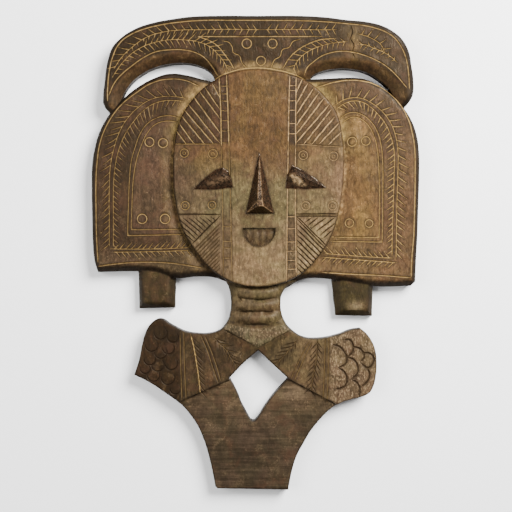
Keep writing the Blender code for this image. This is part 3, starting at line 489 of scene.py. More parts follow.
def thinned(path, step, closed):
    """The path with fewer points: one each step, and more where it turns."""
    track = np.vstack([path, path[:1]]) if closed else path
    kept = [track[0]]
    turned = 0.0
    for k in range(1, len(track) - 1):
        run = track[k] - track[k - 1]
        after = track[k + 1] - track[k]
        turned += abs(math.atan2(run[0] * after[1] - run[1] * after[0], run @ after))
        if turned > TURN or np.linalg.norm(track[k + 1] - kept[-1]) > step:
            kept.append(track[k])
            turned = 0.0
    if not closed:
        kept.append(track[-1])
    return np.array(kept)


def smooth(points, closed=False, step=3.0):
    return thinned(bezier_path(points, closed), step, closed)


def split(path, step):
    """The straight-sided path with points no further apart than step."""
    out = [path[:1]]
    for a, b in zip(path, path[1:]):
        count = max(1, math.ceil(np.linalg.norm(b - a) / step))
        out.append(a + (b - a) * (np.arange(1, count + 1) / count)[:, None])
    return np.vstack(out)


def travelled(path):
    """How far along the path each of its points is."""
    return np.r_[0, np.cumsum(np.linalg.norm(np.diff(path, axis=0), axis=1))]


def ring_path(x, y, radius, sides=14, start=0.0, sweep=2 * math.pi):
    angles = start + sweep * np.arange(sides + 1) / sides
    return np.column_stack([x + radius * np.cos(angles), y + radius * np.sin(angles)])


def normals(path, closed=False):
    """The direction to the left of the path at each of its points."""
    if closed:
        run = np.roll(path, -1, 0) - np.roll(path, 1, 0)
    else:
        run = np.gradient(path, axis=0)
    run /= np.maximum(np.linalg.norm(run, axis=1), 1e-9)[:, None]
    return np.column_stack([-run[:, 1], run[:, 0]])


def near(path, points, closed=False):
    """Each point's distance from the path, and the place on it as a count of its points."""
    track = np.vstack([path, path[:1]]) if closed else path
    a = track[:-1]
    run = track[1:] - a
    size = np.maximum((run * run).sum(1), 1e-12)
    gap = np.empty(len(points))
    place = np.empty(len(points))
    block = max(1, 1500000 // len(a))
    for first in range(0, len(points), block):
        some = points[first:first + block]
        rel_x = some[:, 0, None] - a[None, :, 0]
        rel_y = some[:, 1, None] - a[None, :, 1]
        share = np.clip((rel_x * run[:, 0] + rel_y * run[:, 1]) / size, 0, 1)
        away = (rel_x - share * run[:, 0]) ** 2 + (rel_y - share * run[:, 1]) ** 2
        best = away.argmin(1)
        rows = np.arange(len(some))
        gap[first:first + block] = np.sqrt(away[rows, best])
        place[first:first + block] = best + share[rows, best]
    return gap, place


def inside(loop, points):
    odd = np.zeros(len(points), bool)
    for (ax, ay), (bx, by) in zip(loop, np.roll(loop, -1, 0)):
        if ay != by:
            spans = (points[:, 1] < ay) != (points[:, 1] < by)
            cross = ax + (points[:, 1] - ay) * (bx - ax) / (by - ay)
            odd ^= spans & (points[:, 0] < cross)
    return odd


def depth_in(loop, points):
    """How deep each point is inside the loop, negative outside."""
    gap = near(loop, points, True)[0]
    return np.where(inside(loop, points), gap, -gap)


# Engraving

class Engraving:
    """All the cuts: a centre line, half widths along it, a depth, its pigment and its form."""

    def __init__(self, sizes):
        self.cuts = []
        self.sizes = sizes
        self.dice = random.Random(7)

    def cut(self, path, form, pigment, width, depth, taper=4.0):
        """A cut with its width and depth as shares of a long line's, narrower at its ends."""
        run = travelled(path)
        ends = np.minimum(run, run[-1] - run) / taper if taper else np.ones(len(path))
        half = self.sizes.line_width * 1000 * width / 2 * np.clip(0.35 + ends, 0, 1)
        self.cuts.append((path, half, self.sizes.line_depth * 1000 * depth, pigment, form))

    def lines(self, paths, form, pigment, width=1.0, depth=1.0):
        for points in paths:
            self.cut(smooth(points), form, pigment, width, depth)

    def ruled(self, pairs, form, pigment, width=0.8, depth=0.85):
        """Straight cuts that wander a little, as a hand-held tool does."""
        for pair in pairs:
            path = split(np.array(pair, float), 6.0)
            if len(path) < 3:
                path = split(path, np.linalg.norm(path[-1] - path[0]) / 2 + 0.01)
            sway = np.array([self.dice.uniform(-0.22, 0.22) for _ in path])
            path = path + normals(path) * sway[:, None]
            self.cut(path, form, pigment, width, depth, 2.5)

    def rings(self, circles, form, pigment, inner=False):
        for x, y, radius in circles:
            self.cut(ring_path(x, y, radius), form, pigment, 0.88, 0.85, 0)
            if inner:
                self.cut(ring_path(x, y, radius * 0.36, 8), form, pigment, 0.704, 0.85, 0)

    def leaves(self, form, pigment, stem, side, lengths, leans=(45,), pitch=1.0, skip=0.0):
        """Ticks that lean forward from one side of a stem."""
        path = smooth(stem, step=2.0)
        run = travelled(path)
        pitch *= self.sizes.tick_pitch * 1000
        along = pitch * 0.5 + skip
        while along < run[-1] - 1.0:
            share = along / run[-1]
            spot, ahead, behind = (
                np.array([np.interp(place, run, path[:, k]) for k in (0, 1)])
                for place in (along, along + 1, along - 1))
            heading = math.atan2(*(ahead - behind)[::-1])
            lean = np.interp(share, np.linspace(0, 1, len(leans)), leans)
            tilt = math.radians(lean + self.dice.uniform(-5, 5)) * side
            size = np.interp(share, np.linspace(0, 1, len(lengths)), lengths)
            size *= self.dice.uniform(0.88, 1.08)
            lead = np.array([math.cos(heading + tilt), math.sin(heading + tilt)])
            cross = np.array([-lead[1], lead[0]]) * -side
            shares = np.array([0, 0.25, 0.6, 1.0])
            tick = spot + lead * (LEAF_ROOT + (size - LEAF_ROOT) * shares[:, None])
            tick = tick + cross * (size * LEAF_BOW * shares * shares)[:, None]
            half = self.sizes.tick_width * 500 * np.array([0.7, 1.0, 0.9, 0.25])
            half *= self.dice.uniform(0.85, 1.1)
            self.cuts.append((tick, half, self.sizes.tick_depth * 1000, pigment, form))
            along += pitch * self.dice.uniform(0.88, 1.12)


def engrave(sizes):
    """Every cut on the mask."""
    art = Engraving(sizes)
    art.lines((CREST_BORDER, LEFT_CRESCENT, RIGHT_CRESCENT, LEFT_ARC, RIGHT_ARC, CREST_BAR),
              "crest", 0.78)
    art.lines([FACE_EDGE_GOLD], "crest", 1.0, 0.8, 0.4)
    art.lines((LEFT_SCALLOP, RIGHT_SCALLOP), "crest", 0.8, 0.85)
    art.lines((TOP_STEM_LEFT, TOP_STEM_RIGHT, LEFT_STEM, RIGHT_STEM, FAR_STEM, FAR_TOP_STEM),
              "crest", 0.74, 0.8)
    for row in CREST_LEAVES:
        art.leaves("crest", 0.70, *row)
    art.rings(CREST_RINGS, "crest", 0.9)
    art.lines([CREST_CRACK], "crest", 0.0, 0.55, 0.9)

    for points, pigment in ((LEFT_BORDER, 0.68), (RIGHT_BORDER, 1.0), (LEFT_BASE, 0.62),
                            (RIGHT_BASE, 0.85)):
        art.lines([points], "wings", pigment)
    for panel, inner, pigment in ((LEFT_PANEL, LEFT_PANEL_INNER, 0.66),
                                  (RIGHT_PANEL, RIGHT_PANEL_INNER, 0.85)):
        art.lines((panel[:-1] + [panel[-1][:2]], inner), "wings", pigment, 0.85)
    art.lines((LEFT_OUTER_STEM, LEFT_INNER_STEM, LEFT_LOW_STEM, LEFT_LOW_STEM_2),
              "wings", 0.66, 0.8)
    art.lines((RIGHT_OUTER_STEM, RIGHT_INNER_STEM, RIGHT_LOW_STEM, RIGHT_LOW_STEM_2),
              "wings", 1.0, 0.8)
    for row in WING_LEAVES:
        art.leaves("wings", *row)
    art.rings(WING_RINGS, "wings", 0.9)

    engrave_face(art)
    art.lines(ARM_LINES, "body", 0.42, 1.15)
    for stems, pigment, inward, outward in (
            (LEFT_ARM_STEMS, 0.34, [13, 12], [9, 9]), (RIGHT_ARM_STEMS, 0.24, [9, 9], [12, 12])):
        for stem in stems:
            art.lines([stem], "body", 0.85 if stem is LEFT_ARM_STEMS[0] else 0.32, 0.9)
            art.leaves("body", pigment, stem, 1, inward, (34,))
            art.leaves("body", pigment, stem, -1, outward, (34,))
    art.lines(RIGHT_SCALES, "body", 0.22, 1.6, 1.5)
    for x, y, radius in LEFT_SCALES:
        arc = ring_path(x, y, radius, 9, math.radians(170), math.radians(230))
        art.cut(arc, "body", 0.12, 0.95, 0.9)
    return art.cuts


def engrave_face(art):
    """The ladders, the forehead's fans, the rings and the hatched cheeks."""
    art.lines(HIGH_RAILS, "face", 0.95)
    art.lines(LOW_RAILS[:2], "face", 0.5, 0.9)
    art.lines(LOW_RAILS[2:], "face", 0.85, 0.9)
    for rungs, left, right, pigment in (
            (LEFT_RUNGS, -37.5, -29.8, 0.7), (RIGHT_RUNGS, 36.4, 44.1, 0.95),
            (LEFT_LOW_RUNGS, -35.2, -26.3, 0.6), (RIGHT_LOW_RUNGS, 34.5, 43.8, 1.0)):
        art.ruled([((left, y), (right, y)) for y in rungs], "face", pigment)
    art.ruled(LEFT_FOREHEAD, "face", 0.72, 1.1, 0.95)
    art.ruled(RIGHT_FOREHEAD, "face", 1.0, 1.15, 0.95)
    art.ruled(BROW_LINES, "face", 0.5, 1.0, 1.0)
    art.ruled(CHEEK_LINES, "face", 0.15, 0.9, 1.0)
    art.rings(FACE_RINGS, "face", 0.62, inner=True)
    art.ruled([LEFT_CHEEK_BAR], "face", 0.1, 0.9, 1.0)
    for k in range(9):
        x = -47.5 - 6.3 * k
        reach = (-41.5 - x) / 1.85
        art.ruled([((x, 38.2), (x + reach, 38.2 - reach * 0.85))], "face", 0.14, 0.95)
    for k in range(12):
        y = 31.5 - 4.4 * k
        run = min(33.5 - 0.8 * k, 34 + (y + 34) * 0.15)
        art.ruled([((-39.1, y), (-39.1 - run, y - run))], "face", 0.30, 0.85)
    art.ruled(RIGHT_CHEEK_BARS, "face", 0.1, 0.85, 1.0)
    art.ruled(RIGHT_CHEEK_FAN, "face", 0.12, 1.0, 1.0)
    for k in range(9):
        y = 31.9 - 6.05 * k
        run = min(32.0 - k, 33 + (y + 30) * 0.15)
        art.ruled([((45.2, y), (45.2 + run, y - run))], "face", 0.12, 1.05, 1.1)


# Forms

def hull_facets(foot, ridge, rise):
    """The upper facets of a carved wedge as (a, b, c) of z = ax + by + c, and their ridge lines."""
    bm = bmesh.new()
    corners = [bm.verts.new((x, y, 0.4)) for x, y in foot]
    corners += [bm.verts.new((point[0], point[1], share * rise)) for point, share in ridge]
    bmesh.ops.convex_hull(bm, input=corners)
    bmesh.ops.recalc_face_normals(bm, faces=bm.faces)
    planes = []
    for face in bm.faces:
        n = face.normal
        if n.z > 0.02:
            spot = face.verts[0].co
            planes.append((-n.x / n.z, -n.y / n.z, n.dot(spot) / n.z))
    lines = []
    for edge in bm.edges:
        if edge.is_manifold and all(f.normal.z > 0.02 for f in edge.link_faces):
            if edge.calc_face_angle(0) > 0.05:
                lines.append(np.array([v.co[:2] for v in edge.verts]))
    bm.free()
    return planes, lines


def facet_height(planes, points):
    return np.min([a * points[:, 0] + b * points[:, 1] + c for a, b, c in planes], axis=0)


def quarter_round(deep, radius):
    """How far a rounded edge has fallen, this deep inside its outline."""
    short = np.clip(1 - deep / radius, 0, 1)
    return radius * (1 - np.sqrt(1 - short * short))


def step_up(value, low, high):
    """A smooth step from 0 to 1."""
    share = np.clip((value - low) / (high - low), 0, 1)
    return share * share * (3 - 2 * share)


def step_down(value, low, high):
    return 1 - step_up(value, low, high)


def soft_spot(points, x, y, half_x, half_y, power=2):
    """A soft round patch, as a share at each point."""
    return np.exp(-((points[:, 0] - x) / half_x) ** power - ((points[:, 1] - y) / half_y) ** power)


def chamfered(corners, widths, top, points):
    """The height of a straight-sided block whose sides slope, well below its foot outside it."""
    loop = np.array(corners, float)
    height = np.full(len(points), top)
    for a, b, width in zip(loop, np.roll(loop, -1, 0), widths):
        run = (b - a) / np.linalg.norm(b - a)
        deep = run[0] * (points[:, 1] - a[1]) - run[1] * (points[:, 0] - a[0])
        if width:
            height = np.minimum(height, top - CHAMFER + CHAMFER / width * deep)
        height = np.where(deep < AT_EDGE, -9.0, height)
    return height


class Forms:
    """The mask's forms, and the height of its front at any point in plan millimetres."""

    names = ["crest", "wings", "body", "face", "tabs"]

    def __init__(self, sizes):
        self.mm = {key: getattr(sizes, key) * 1000 for key in sizes.__annotations__}
        loops = {
            "crest": CREST, "wings": WINGS, "body": BODY, "hole": DIAMOND_HOLE, "face": FACE,
            "collar": COLLAR, "foot": FOOT, "left_panel": LEFT_PANEL, "right_panel": RIGHT_PANEL}
        self.loops = {name: smooth(points, True) for name, points in loops.items()}
        angles = np.pi * np.arange(19) / 18
        self.loops["mouth"] = np.column_stack(
            [3.9 - 18 * np.cos(angles), 27 - 20.5 * np.sin(angles)])
        edges = {"under": CREST_UNDER, "over": CREST_TOP, "wings_foot": WINGS_FOOT}
        self.edges = {name: smooth(points) for name, points in edges.items()}
        self.features = []
        self.ridges = []
        for foot, ridge, rise in ((NOSE_FOOT, NOSE_RIDGE, "nose_rise"),
                                  (LEFT_EYE_FOOT, LEFT_EYE_RIDGE, "eye_rise"),
                                  (RIGHT_EYE_FOOT, RIGHT_EYE_RIDGE, "eye_rise")):
            planes, lines = hull_facets(foot, ridge, self.mm[rise])
            self.features.append((split(np.array(foot + foot[:1], float), 3.0)[:-1], planes))
            self.ridges += lines

    def solid(self, points):
        """Whether there is wood at each point."""
        wood = inside(self.loops["crest"], points)
        for loop in (self.loops["wings"], self.loops["body"], np.array(LEFT_TAB, float),
                     np.array(RIGHT_TAB, float)):
            wood |= inside(loop, points)
        return wood & ~inside(self.loops["hole"], points)

    def crest_height(self, points, deep):
        reach = 9.5 + 3.5 * step_up(np.abs(points[:, 0]), 110, 150)
        fall = 8.0 * np.clip(1 - deep["under"] / reach, 0, 1) ** 1.25
        return self.mm["crest_thickness"] - np.maximum(
            quarter_round(deep["over"], EDGE_ROUND), fall)

    def wings_height(self, deep):
        """The side panels, scooped round the face and falling to their lower edge."""
        cove = np.clip(1 + deep["face"] / self.mm["cove_width"], 0, 1)
        scoop = self.mm["cove_depth"] * step_up(cove, 0, 1) * (deep["face"] < 0)
        fall = 5.5 * np.clip(1 - deep["wings_foot"] / 7.5, 0, 1) ** 1.5
        side = quarter_round(deep["wings"], EDGE_ROUND)
        return self.mm["wing_thickness"] - scoop - np.maximum(side, fall)

    def body_height(self, points, deep):
        """The ringed neck, the collar, the arms and the lower foot."""
        x, y = points.T
        mm = self.mm
        neck = step_up(y, -92, -80) * step_down(np.abs(x), 34, 46)
        rim = np.minimum(deep["body"], deep["hole"])
        body = mm["body_thickness"] - quarter_round(rim, 1.5 + 5.0 * neck) * (1 - 0.15 * neck)
        body -= mm["foot_drop"] * np.clip(deep["foot"] / 0.9, 0, 1)
        body += 1.3 * np.clip(deep["collar"] / 1.2, 0, 1)
        below = np.clip(-deep["collar"], 0, None) * (y < -82)
        body -= 0.9 * np.sin(np.pi * np.clip(below / 20, 0, 1)) * (np.abs(x) < 42)
        for middle, reach in NECK_RINGS:
            bend = middle + 3.0 * ((x - 1) / 26) ** 2
            lift = np.clip(1 - np.abs((y - bend) / reach) ** 3.2, 0, None)
            top = mm["body_thickness"] - 2.2 + (mm["ring_rise"] + 2.2) * np.sqrt(lift)
            top -= 6.5 * (np.abs(x - 1) / 27) ** 3.5
            body = np.where(lift > 0, np.maximum(body, top), body)
        return body

    def face_height(self, points, deep):
        """The swelling face with its mouth and teeth, its nose and its eyes."""
        x, y = points.T
        mm = self.mm
        top = mm["wing_thickness"] + mm["face_rise"]
        radial = np.hypot((x - 3) / 93, (y - 82) / 119)
        face = top - quarter_round(deep["face"] - 0.25, 2.6) + mm["face_crown"] * (1 - radial ** 2)
        face = 12.0 + (face - 12.0) * np.clip(deep["face"] / 0.25, 0, 1)
        floor = -mm["mouth_depth"] * np.clip(deep["mouth"] / 0.5, 0, 1)
        swell = 0.9 * step_up(deep["mouth"], 0.8, 7)
        teeth = 0.65 * np.cos(2 * np.pi * (x - 0.6) / 7.6) * step_up(deep["mouth"], 0.8, 3.5)
        face += floor + (swell + teeth) * (deep["mouth"] > 0)
        for foot, planes in self.features:
            raised = np.maximum(face, top + facet_height(planes, points))
            face = np.where(depth_in(foot, points) > -0.03, raised, face)
        return face

    def measure(self, points):
        """The height at each point, the form on top there, and how deep it is in each outline.

        With the depths go the plain distances from the open edges and the ridges.
        """
        deep = {name: depth_in(loop, points) for name, loop in self.loops.items()}
        deep["hole"] *= -1
        deep["feature"] = np.max([depth_in(foot, points) for foot, _ in self.features], axis=0)
        lines = {**{name: [edge] for name, edge in self.edges.items()}, "ridge": self.ridges}
        for name, paths in lines.items():
            deep[name] = np.min([near(path, points)[0] for path in paths], axis=0)
        body_rim = np.minimum(deep["body"], deep["hole"])
        tabs = [chamfered(corners, widths, self.mm["tab_thickness"], points)
                for corners, widths in ((LEFT_TAB, LEFT_TAB_EDGES), (RIGHT_TAB, RIGHT_TAB_EDGES))]
        heights = np.array([
            np.where(deep["crest"] > AT_EDGE, self.crest_height(points, deep), AWAY),
            np.where(deep["wings"] > AT_EDGE, self.wings_height(deep), AWAY),
            np.where(body_rim > AT_EDGE, self.body_height(points, deep), AWAY),
            np.where(deep["face"] > AT_EDGE, self.face_height(points, deep), AWAY),
            np.maximum(*tabs)])
        return np.maximum(heights.max(0), 1.0), heights.argmax(0), deep


def offset_lines(loop, distance):
    """Stretches of the line this far inside a loop, left out where it would double back."""
    area = np.sum(loop[:, 0] * np.roll(loop[:, 1], -1) - np.roll(loop[:, 0], -1) * loop[:, 1])
    moved = loop + normals(loop, True) * distance * (1 if area > 0 else -1)
    good = near(loop, moved, True)[0] > abs(distance) * 0.94
    lines = []
    current = []
    for k in [*range(len(moved)), 0]:
        if good[k]:
            current.append(moved[k])
        else:
            lines.append(current)
            current = []
    return [np.array(line) for line in [*lines, current] if len(line) > 1]


class Plan:
    """The points and joined lines that the mesh of the front must pass through."""

    def __init__(self):
        self.points = []
        self.joins = []

    def add(self, path, closed=False):
        first = len(self.points)
        self.points.extend((float(x), float(y)) for x, y in path)
        last = len(self.points) - 1
        self.joins.extend((k, k + 1) for k in range(first, last))
        if closed:
            self.joins.append((last, first))

    def add_band(self, path, half):
        """A line and its two sides."""
        side = normals(path) * half
        for line in (path, path + side, path - side):
            self.add(line)

    def add_offsets(self, loop, distances):
        for distance in distances:
            for line in offset_lines(loop, distance):
                self.add(line)

    def fill(self, spacing):
        """A loose grid of points between the lines."""
        tree = kdtree.KDTree(len(self.points))
        for k, (x, y) in enumerate(self.points):
            tree.insert((x, y, 0), k)
        tree.balance()
        dice = random.Random(3)
        (left, foot), (width, height) = GRID_CORNER, GRID_SIZE
        for row in range(math.ceil(height / (spacing * ROW_RISE))):
            for column in range(math.ceil(width / spacing)):
                x = left + (column + 0.5 * (row % 2)) * spacing + dice.uniform(-0.5, 0.5)
                y = foot + row * spacing * ROW_RISE + dice.uniform(-0.5, 0.5)
                if tree.find((x, y, 0))[2] > spacing * 0.45:
                    self.points.append((x, y))


def draw_plan(forms, cuts, spacing):
    """All the lines that the mesh follows, and the points between them."""
    plan = Plan()
    for name in ("crest", "wings", "body", "face", "hole", "collar", "foot", "mouth"):
        plan.add(forms.loops[name], True)
    for tab in (LEFT_TAB, RIGHT_TAB):
        plan.add(split(np.array(tab + tab[:1], float), 4.0)[:-1], True)
    for name, distances in OFFSETS:
        plan.add_offsets(forms.loops[name], distances)
    for line in forms.ridges:
        plan.add_band(split(line, 2.0), 0.8)
    for foot, _ in forms.features:
        plan.add(foot, True)
        plan.add_offsets(foot, (-1.8, -0.35, 1.2, 2.4))
    for path, half, _, _, _ in cuts:
        plan.add_band(path, half[:, None])
    plan.fill(spacing)
    return plan


def cut_depths(cuts, form, points, feature):
    """How far the engraving goes down at each point, with pigment, bare-cut and
    dirt-with-painted-shadow shares.
    """
    totals = np.zeros((4, len(points)))
    for path, half, deepest, colour, name in cuts:
        box = (points > path.min(0) - CUT_REACH) & (points < path.max(0) + CUT_REACH)
        chosen = np.flatnonzero(box.all(1) & (form == Forms.names.index(name)) & (feature < -0.2))
        if not len(chosen):
            continue
        gap, place = near(path, points[chosen])
        wide = np.interp(place, np.arange(len(half)), half)
        share = np.clip(1 - (gap / wide) ** 2, 0, 1)
        layers = (deepest * share * np.clip(wide / half.max(), 0, 1), share * colour,
                  share * (1 - colour),
                  # Dirt and painted shadow beside the cut
                  np.clip(1 - (gap - wide) / 1.4, 0, 1) * (0.35 + 0.65 * colour))
        for total, layer in zip(totals, layers):
            total[chosen] = np.maximum(total[chosen], layer)
    return totals


def wander(points, size, seed):
    """Smooth chance values from -1 to 1 at each point."""
    return np.array([noise.noise(Vector((x / size, y / size, seed))) for x, y in points])


def triangulate(plan):
    coords = [Vector(point) for point in plan.points]
    verts, _, faces, _, _, _ = delaunay_2d_cdt(coords, plan.joins, [], 0, 0.02, False)
    return np.array([tuple(v) for v in verts]), np.array([tuple(f) for f in faces])


def by_form(form):
    """Which points lie on the crest, the wings, the body, the face and the tabs."""
    return [form == k for k in range(len(Forms.names))]


def wood_tints(points, form, deep):
    """The wood's colour at each point, laid on in patches, each over those before it, with painted
    light and shade among them.
    """
    x, y = points.T
    crest, wings, body, face, tabs = by_form(form)
    left_panel, right_panel, outline = deep["left_panel"], deep["right_panel"], deep["face"]
    mouth, feature = deep["mouth"], deep["feature"]
    rightward = step_up(x, -20, 60)
    left_wing = wings * (1 - rightward)
    lane = step_up(deep["wings"], 9, 12) * step_down(deep["wings"], 33, 38)
    corner = step_up(y, 90, 150) * step_up(x, 60, 110) * step_down(right_panel, -3, 2)
    cove = step_up(outline, -16, -11)
    rim = step_up(outline, -3.2, -1.8) * step_down(outline, -0.8, 0.4)
    gilt = step_up(outline, -11, -1.5) * step_up(y, 110, 140)
    edge = np.where(crest, deep["over"] - 0.8, np.where(wings, deep["wings"], 90))
    foot = body * step_up(deep["foot"], 0, 1.5)
    level = np.exp(-((y - 84) / 34) ** 2)
    high = face * step_up(y, 117, 120)
    tooth = (0.5 + 0.5 * np.cos(2 * np.pi * (x - 0.6) / 7.6)) ** 2
    low_ladder = face * step_down(y, 41, 43)
    raised = face * (feature > -0.03)
    eyes = raised * (np.abs(x - 4) > 20)
    # Pale wear with a painted highlight along the nose's ridges
    wear_and_glint = raised * (np.abs(x - 4) < 20) * step_down(deep["ridge"], 0.3, 0.9)
    # Painted highlights on the eyes
    right_glint = np.exp(
        -((x - 45 + 0.8 * (y - 79)) / 5) ** 4 - ((y - 79 + 0.25 * (x - 45)) / 4.5) ** 4)
    left_glint = np.exp(-((x + 40) / 12) ** 4 - ((y - 78.5 - 0.25 * (x + 40)) / 3) ** 4)
    patches = [
        # Lighter towards the right over the crest and the wings: partly the wood's own colour,
        # partly painted light on the right and painted shade on the left
        ((63, 48, 29), crest * step_up(x, 60, 150) * 0.12),
        (LEFT_WOOD, wings),
        (RIGHT_WOOD, wings * rightward),
        (LEFT_PANEL_WOOD, wings * step_up(left_panel, -0.5, 5)),
        (RIGHT_PANEL_WOOD, wings * step_up(right_panel, -0.5, 5)),
        ((33, 21, 13), left_wing * lane * 0.55),
        ((50, 40, 26), left_wing * step_down(y, -8, 12) * 0.6),
        ((36, 25, 14), wings * corner * 0.65),
        ((62, 43, 27), wings * step_up(x, 112, 134) * step_up(right_panel, 0, 6) * 0.5),
        (COVE_WOOD, left_wing * cove * 0.75),
        ((69, 52, 30), wings * cove * rightward * 0.8),
        ((112, 92, 58), (crest | wings) * rim * step_up(y, -10, 60) * 0.75),
        ((98, 80, 46), (crest | wings) * gilt * 0.85),
        ((62, 46, 28), crest * step_down(deep["under"], 8, 13) * 0.7),
        ((71, 55, 29), crest * soft_spot(points, 107, 228, 7, 20) * 0.7),
        # Painted shade over some dark stain on the rounded upper edges of the crest and the wings
        ((12, 9, 6), step_down(edge, 2.6, 5.2) * 0.95),
        (ARM_WOOD, body),
        (NECK_WOOD, body * step_up(y, -86, -78) * (np.abs(x) < 48)),
        (COLLAR_WOOD, body * step_up(deep["collar"], -0.5, 1.0)),
        (LEFT_SHOULDER_WOOD, body * step_down(x, -84, -80)),
        ((64, 52, 34), body * step_up(x, 14, 60) * 0.9),
        (RIGHT_SHOULDER_WOOD, body * step_up(x, 79, 83)),
        (FOOT_WOOD, foot),
        ((56, 46, 30), foot * step_up(y, -205, -150) * 0.5),
        ((70, 60, 43), foot * soft_spot(points, 42, -153, 20, 9) * 0.55),
        (TAB_WOOD, tabs),
        ((88, 74, 54), tabs * soft_spot(points, 110, -58, 8, 5) * 0.7),
        (FOREHEAD_WOOD, face),
        (CHEEK_WOOD, face * step_down(y, 60, 118)),
        (CHIN_WOOD, face * step_down(y, -10, 50)),
        # Darker at the face's left and lighter at its right: partly its own colour, partly painted
        # shade and painted light
        ((43, 33, 20), face * step_down(x, -85, -20) * 0.34),
        ((98, 78, 50), face * step_up(x, 40, 95) * 0.42),
        ((54, 39, 30), face * step_down(x, -86, -56) * level * 0.55),
        ((70, 52, 38), face * step_up(x, 62, 92) * level * 0.45),
        ((80, 68, 42), face * soft_spot(points, 60, 50, 22, 24) * 0.8),
        ((90, 74, 51), face * step_down(y, 38, 42) * step_up(x, 33, 35) * 0.75),
        ((58, 48, 30), face * soft_spot(points, 4, 50, 26, 22, 4) * 0.45),
        ((34, 25, 13), face * step_up(mouth, 0.1, 1.0) * (1 - 0.55 * tooth * step_up(mouth, 1, 3))),
        ((30, 19, 10), high * step_down(x, -30, -28) * 0.85),
        ((44, 30, 15), high * step_up(x, 35, 37) * 0.7),
        ((30, 19, 12), high * step_up(x, 35, 37) * step_down(x, 43, 45) * 0.8),
        ((70, 58, 40), face * step_down(y, 40, 42) * step_down(x, -37, -34) * 0.5),
        ((34, 25, 14), low_ladder * (x > -36.5) * (x < -26) * 0.4),
        ((34, 25, 14), low_ladder * (x > 34) * (x < 44.5) * 0.75),
        (FEATURE_WOOD, raised),
        ((28, 18, 10), eyes * step_up(feature, 1.2, 2.6) * 0.9),
        ((112, 92, 66), eyes * right_glint * step_up(feature, 1.6, 2.6) * 0.9),
        ((58, 44, 30), eyes * left_glint * step_up(feature, 1.6, 2.6) * 0.9),
        ((92, 72, 50), wear_and_glint * step_up(feature, 0.6, 2) * np.where(y < 58, 0.8, 0.5)),
    ]
    tint = np.tile(np.array(linear(CREST_WOOD)), (len(points), 1))
    for colour, amount in patches:
        tint += (np.array(linear(colour)) - tint) * amount[:, None]
    return tint


def edge_dirt_and_shade(points, form, deep):
    """Dirt and painted shade along the outlines and sloping edges, in grooves and corners, and
    round the features.
    """
    x, y = points.T
    crest, wings, body, face, tabs = by_form(form)
    outline, feature = deep["face"], deep["feature"]
    bend = 3.0 * ((x[:, None] - 1) / 26) ** 2
    groove = np.abs(y[:, None] - np.array(NECK_GROOVES) - bend).min(1)
    neck = body * (y > -82) * (np.abs(x) < 36)
    body_rim = np.minimum(deep["body"], deep["hole"])
    tab = np.maximum(depth_in(np.array(LEFT_TAB), points), depth_in(np.array(RIGHT_TAB), points))
    return np.max([
        crest * 1.2 * step_down(deep["over"], 2.4, 5.2),
        crest * 0.5 * step_down(deep["under"], 5.5, 10),
        wings * 0.9 * step_down(deep["wings"], 2.5, 5.0),
        wings * 0.95 * step_down(deep["wings_foot"], 4.5, 8.5),
        # Painted shadow of the face on the wings below it
        wings * 0.45 * step_down(y, -10, 60) * step_up(outline, -1.8, -0.3),
        face * (0.45 + 0.5 * step_down(y, 20, 80)) * step_down(outline, 0.8, 2.3),
        # Painted contact shadow on the face round the nose and the eyes
        face * 0.8 * step_up(feature, -2.0, -0.2) * (feature < -0.03),
        face * 0.85 * step_down(np.abs(deep["mouth"]), 0.2, 1.3),
        neck * 0.7 * step_down(groove, 0.2, 1.2),
        body * 0.75 * step_down(body_rim, 0.3, 2.2),
        body * 0.8 * step_down(np.abs(deep["foot"]), 0.4, 2.2),
        tabs * (0.6 - 0.45 * step_up(tab, 5.0, 6.5)),
    ], axis=0)


def touches(points, form, deep):
    """Shares of cross grain on the foot, of wear by hands with painted glints, and of chalk in
    place of pigment.
    """
    x, y = points.T
    _, wings, body, face, _ = by_form(form)
    low = step_down(y, -12, 34)
    hand_wear_and_glints = np.max([
        body * step_up(x, 79, 83), body * step_up(deep["collar"], 0, 1) * 0.7,
        face * low * (0.35 + 0.4 * step_up(x, 20, 50)) + wings * low * 0.22], axis=0)
    return np.column_stack([body * step_up(deep["foot"], 0, 2), hand_wear_and_glints, face * step_up(x, -60, 50)])


def build_front(sizes, carving):
    """The front as a bmesh in metres, with the colour values of its vertices."""
    forms = Forms(sizes)
    cuts = engrave(carving)
    plan = draw_plan(forms, cuts, carving.spacing * 1000)
    points, faces = triangulate(plan)
    faces = faces[forms.solid(points[faces].mean(1))]
    used, faces = np.unique(faces, return_inverse=True)
    points = points[used]
    height, form, deep = forms.measure(points)
    depth, pigment, bare, dirt_and_shade = cut_depths(cuts, form, points, deep["feature"])
    sway = wander(points, 22, 3.1) + 0.5 * wander(points, 8, 7.7)
    height = height - depth + carving.waviness * 1000 * sway
    scale = sizes.height / PLAN_HEIGHT
    bm = bmesh.new()
    verts = [bm.verts.new((x * scale, y * scale, z / 1000)) for (x, y), z in zip(points, height)]
    for a, b, c in faces.reshape(-1, 3):
        bm.faces.new((verts[a], verts[b], verts[c]))
    # Dirt and painted shade on the edges, in the corners and beside the cuts
    grime_and_shade = np.maximum(edge_dirt_and_shade(points, form, deep), dirt_and_shade * 0.62)
    colours = {
        "tint": wood_tints(points, form, deep), "marks": np.column_stack([pigment, bare, grime_and_shade]),
        "touch": touches(points, form, deep)}
    return bm, colours, deep["feature"] > -0.03


def rim_directions(edges):
    """The way out of the wood, in plan, at each vertex of the open edges."""
    out = {}
    for edge in edges:
        inner = edge.link_faces[0].calc_center_median()
        a, b = edge.verts
        run = (b.co - a.co).to_2d()
        side = Vector((run.y, -run.x))
        if side.dot((a.co - inner).to_2d()) < 0:
            side.negate()
        for vert in edge.verts:
            out[vert] = out.get(vert, Vector((0, 0))) + side
    return {vert: side.normalized() for vert, side in out.items()}


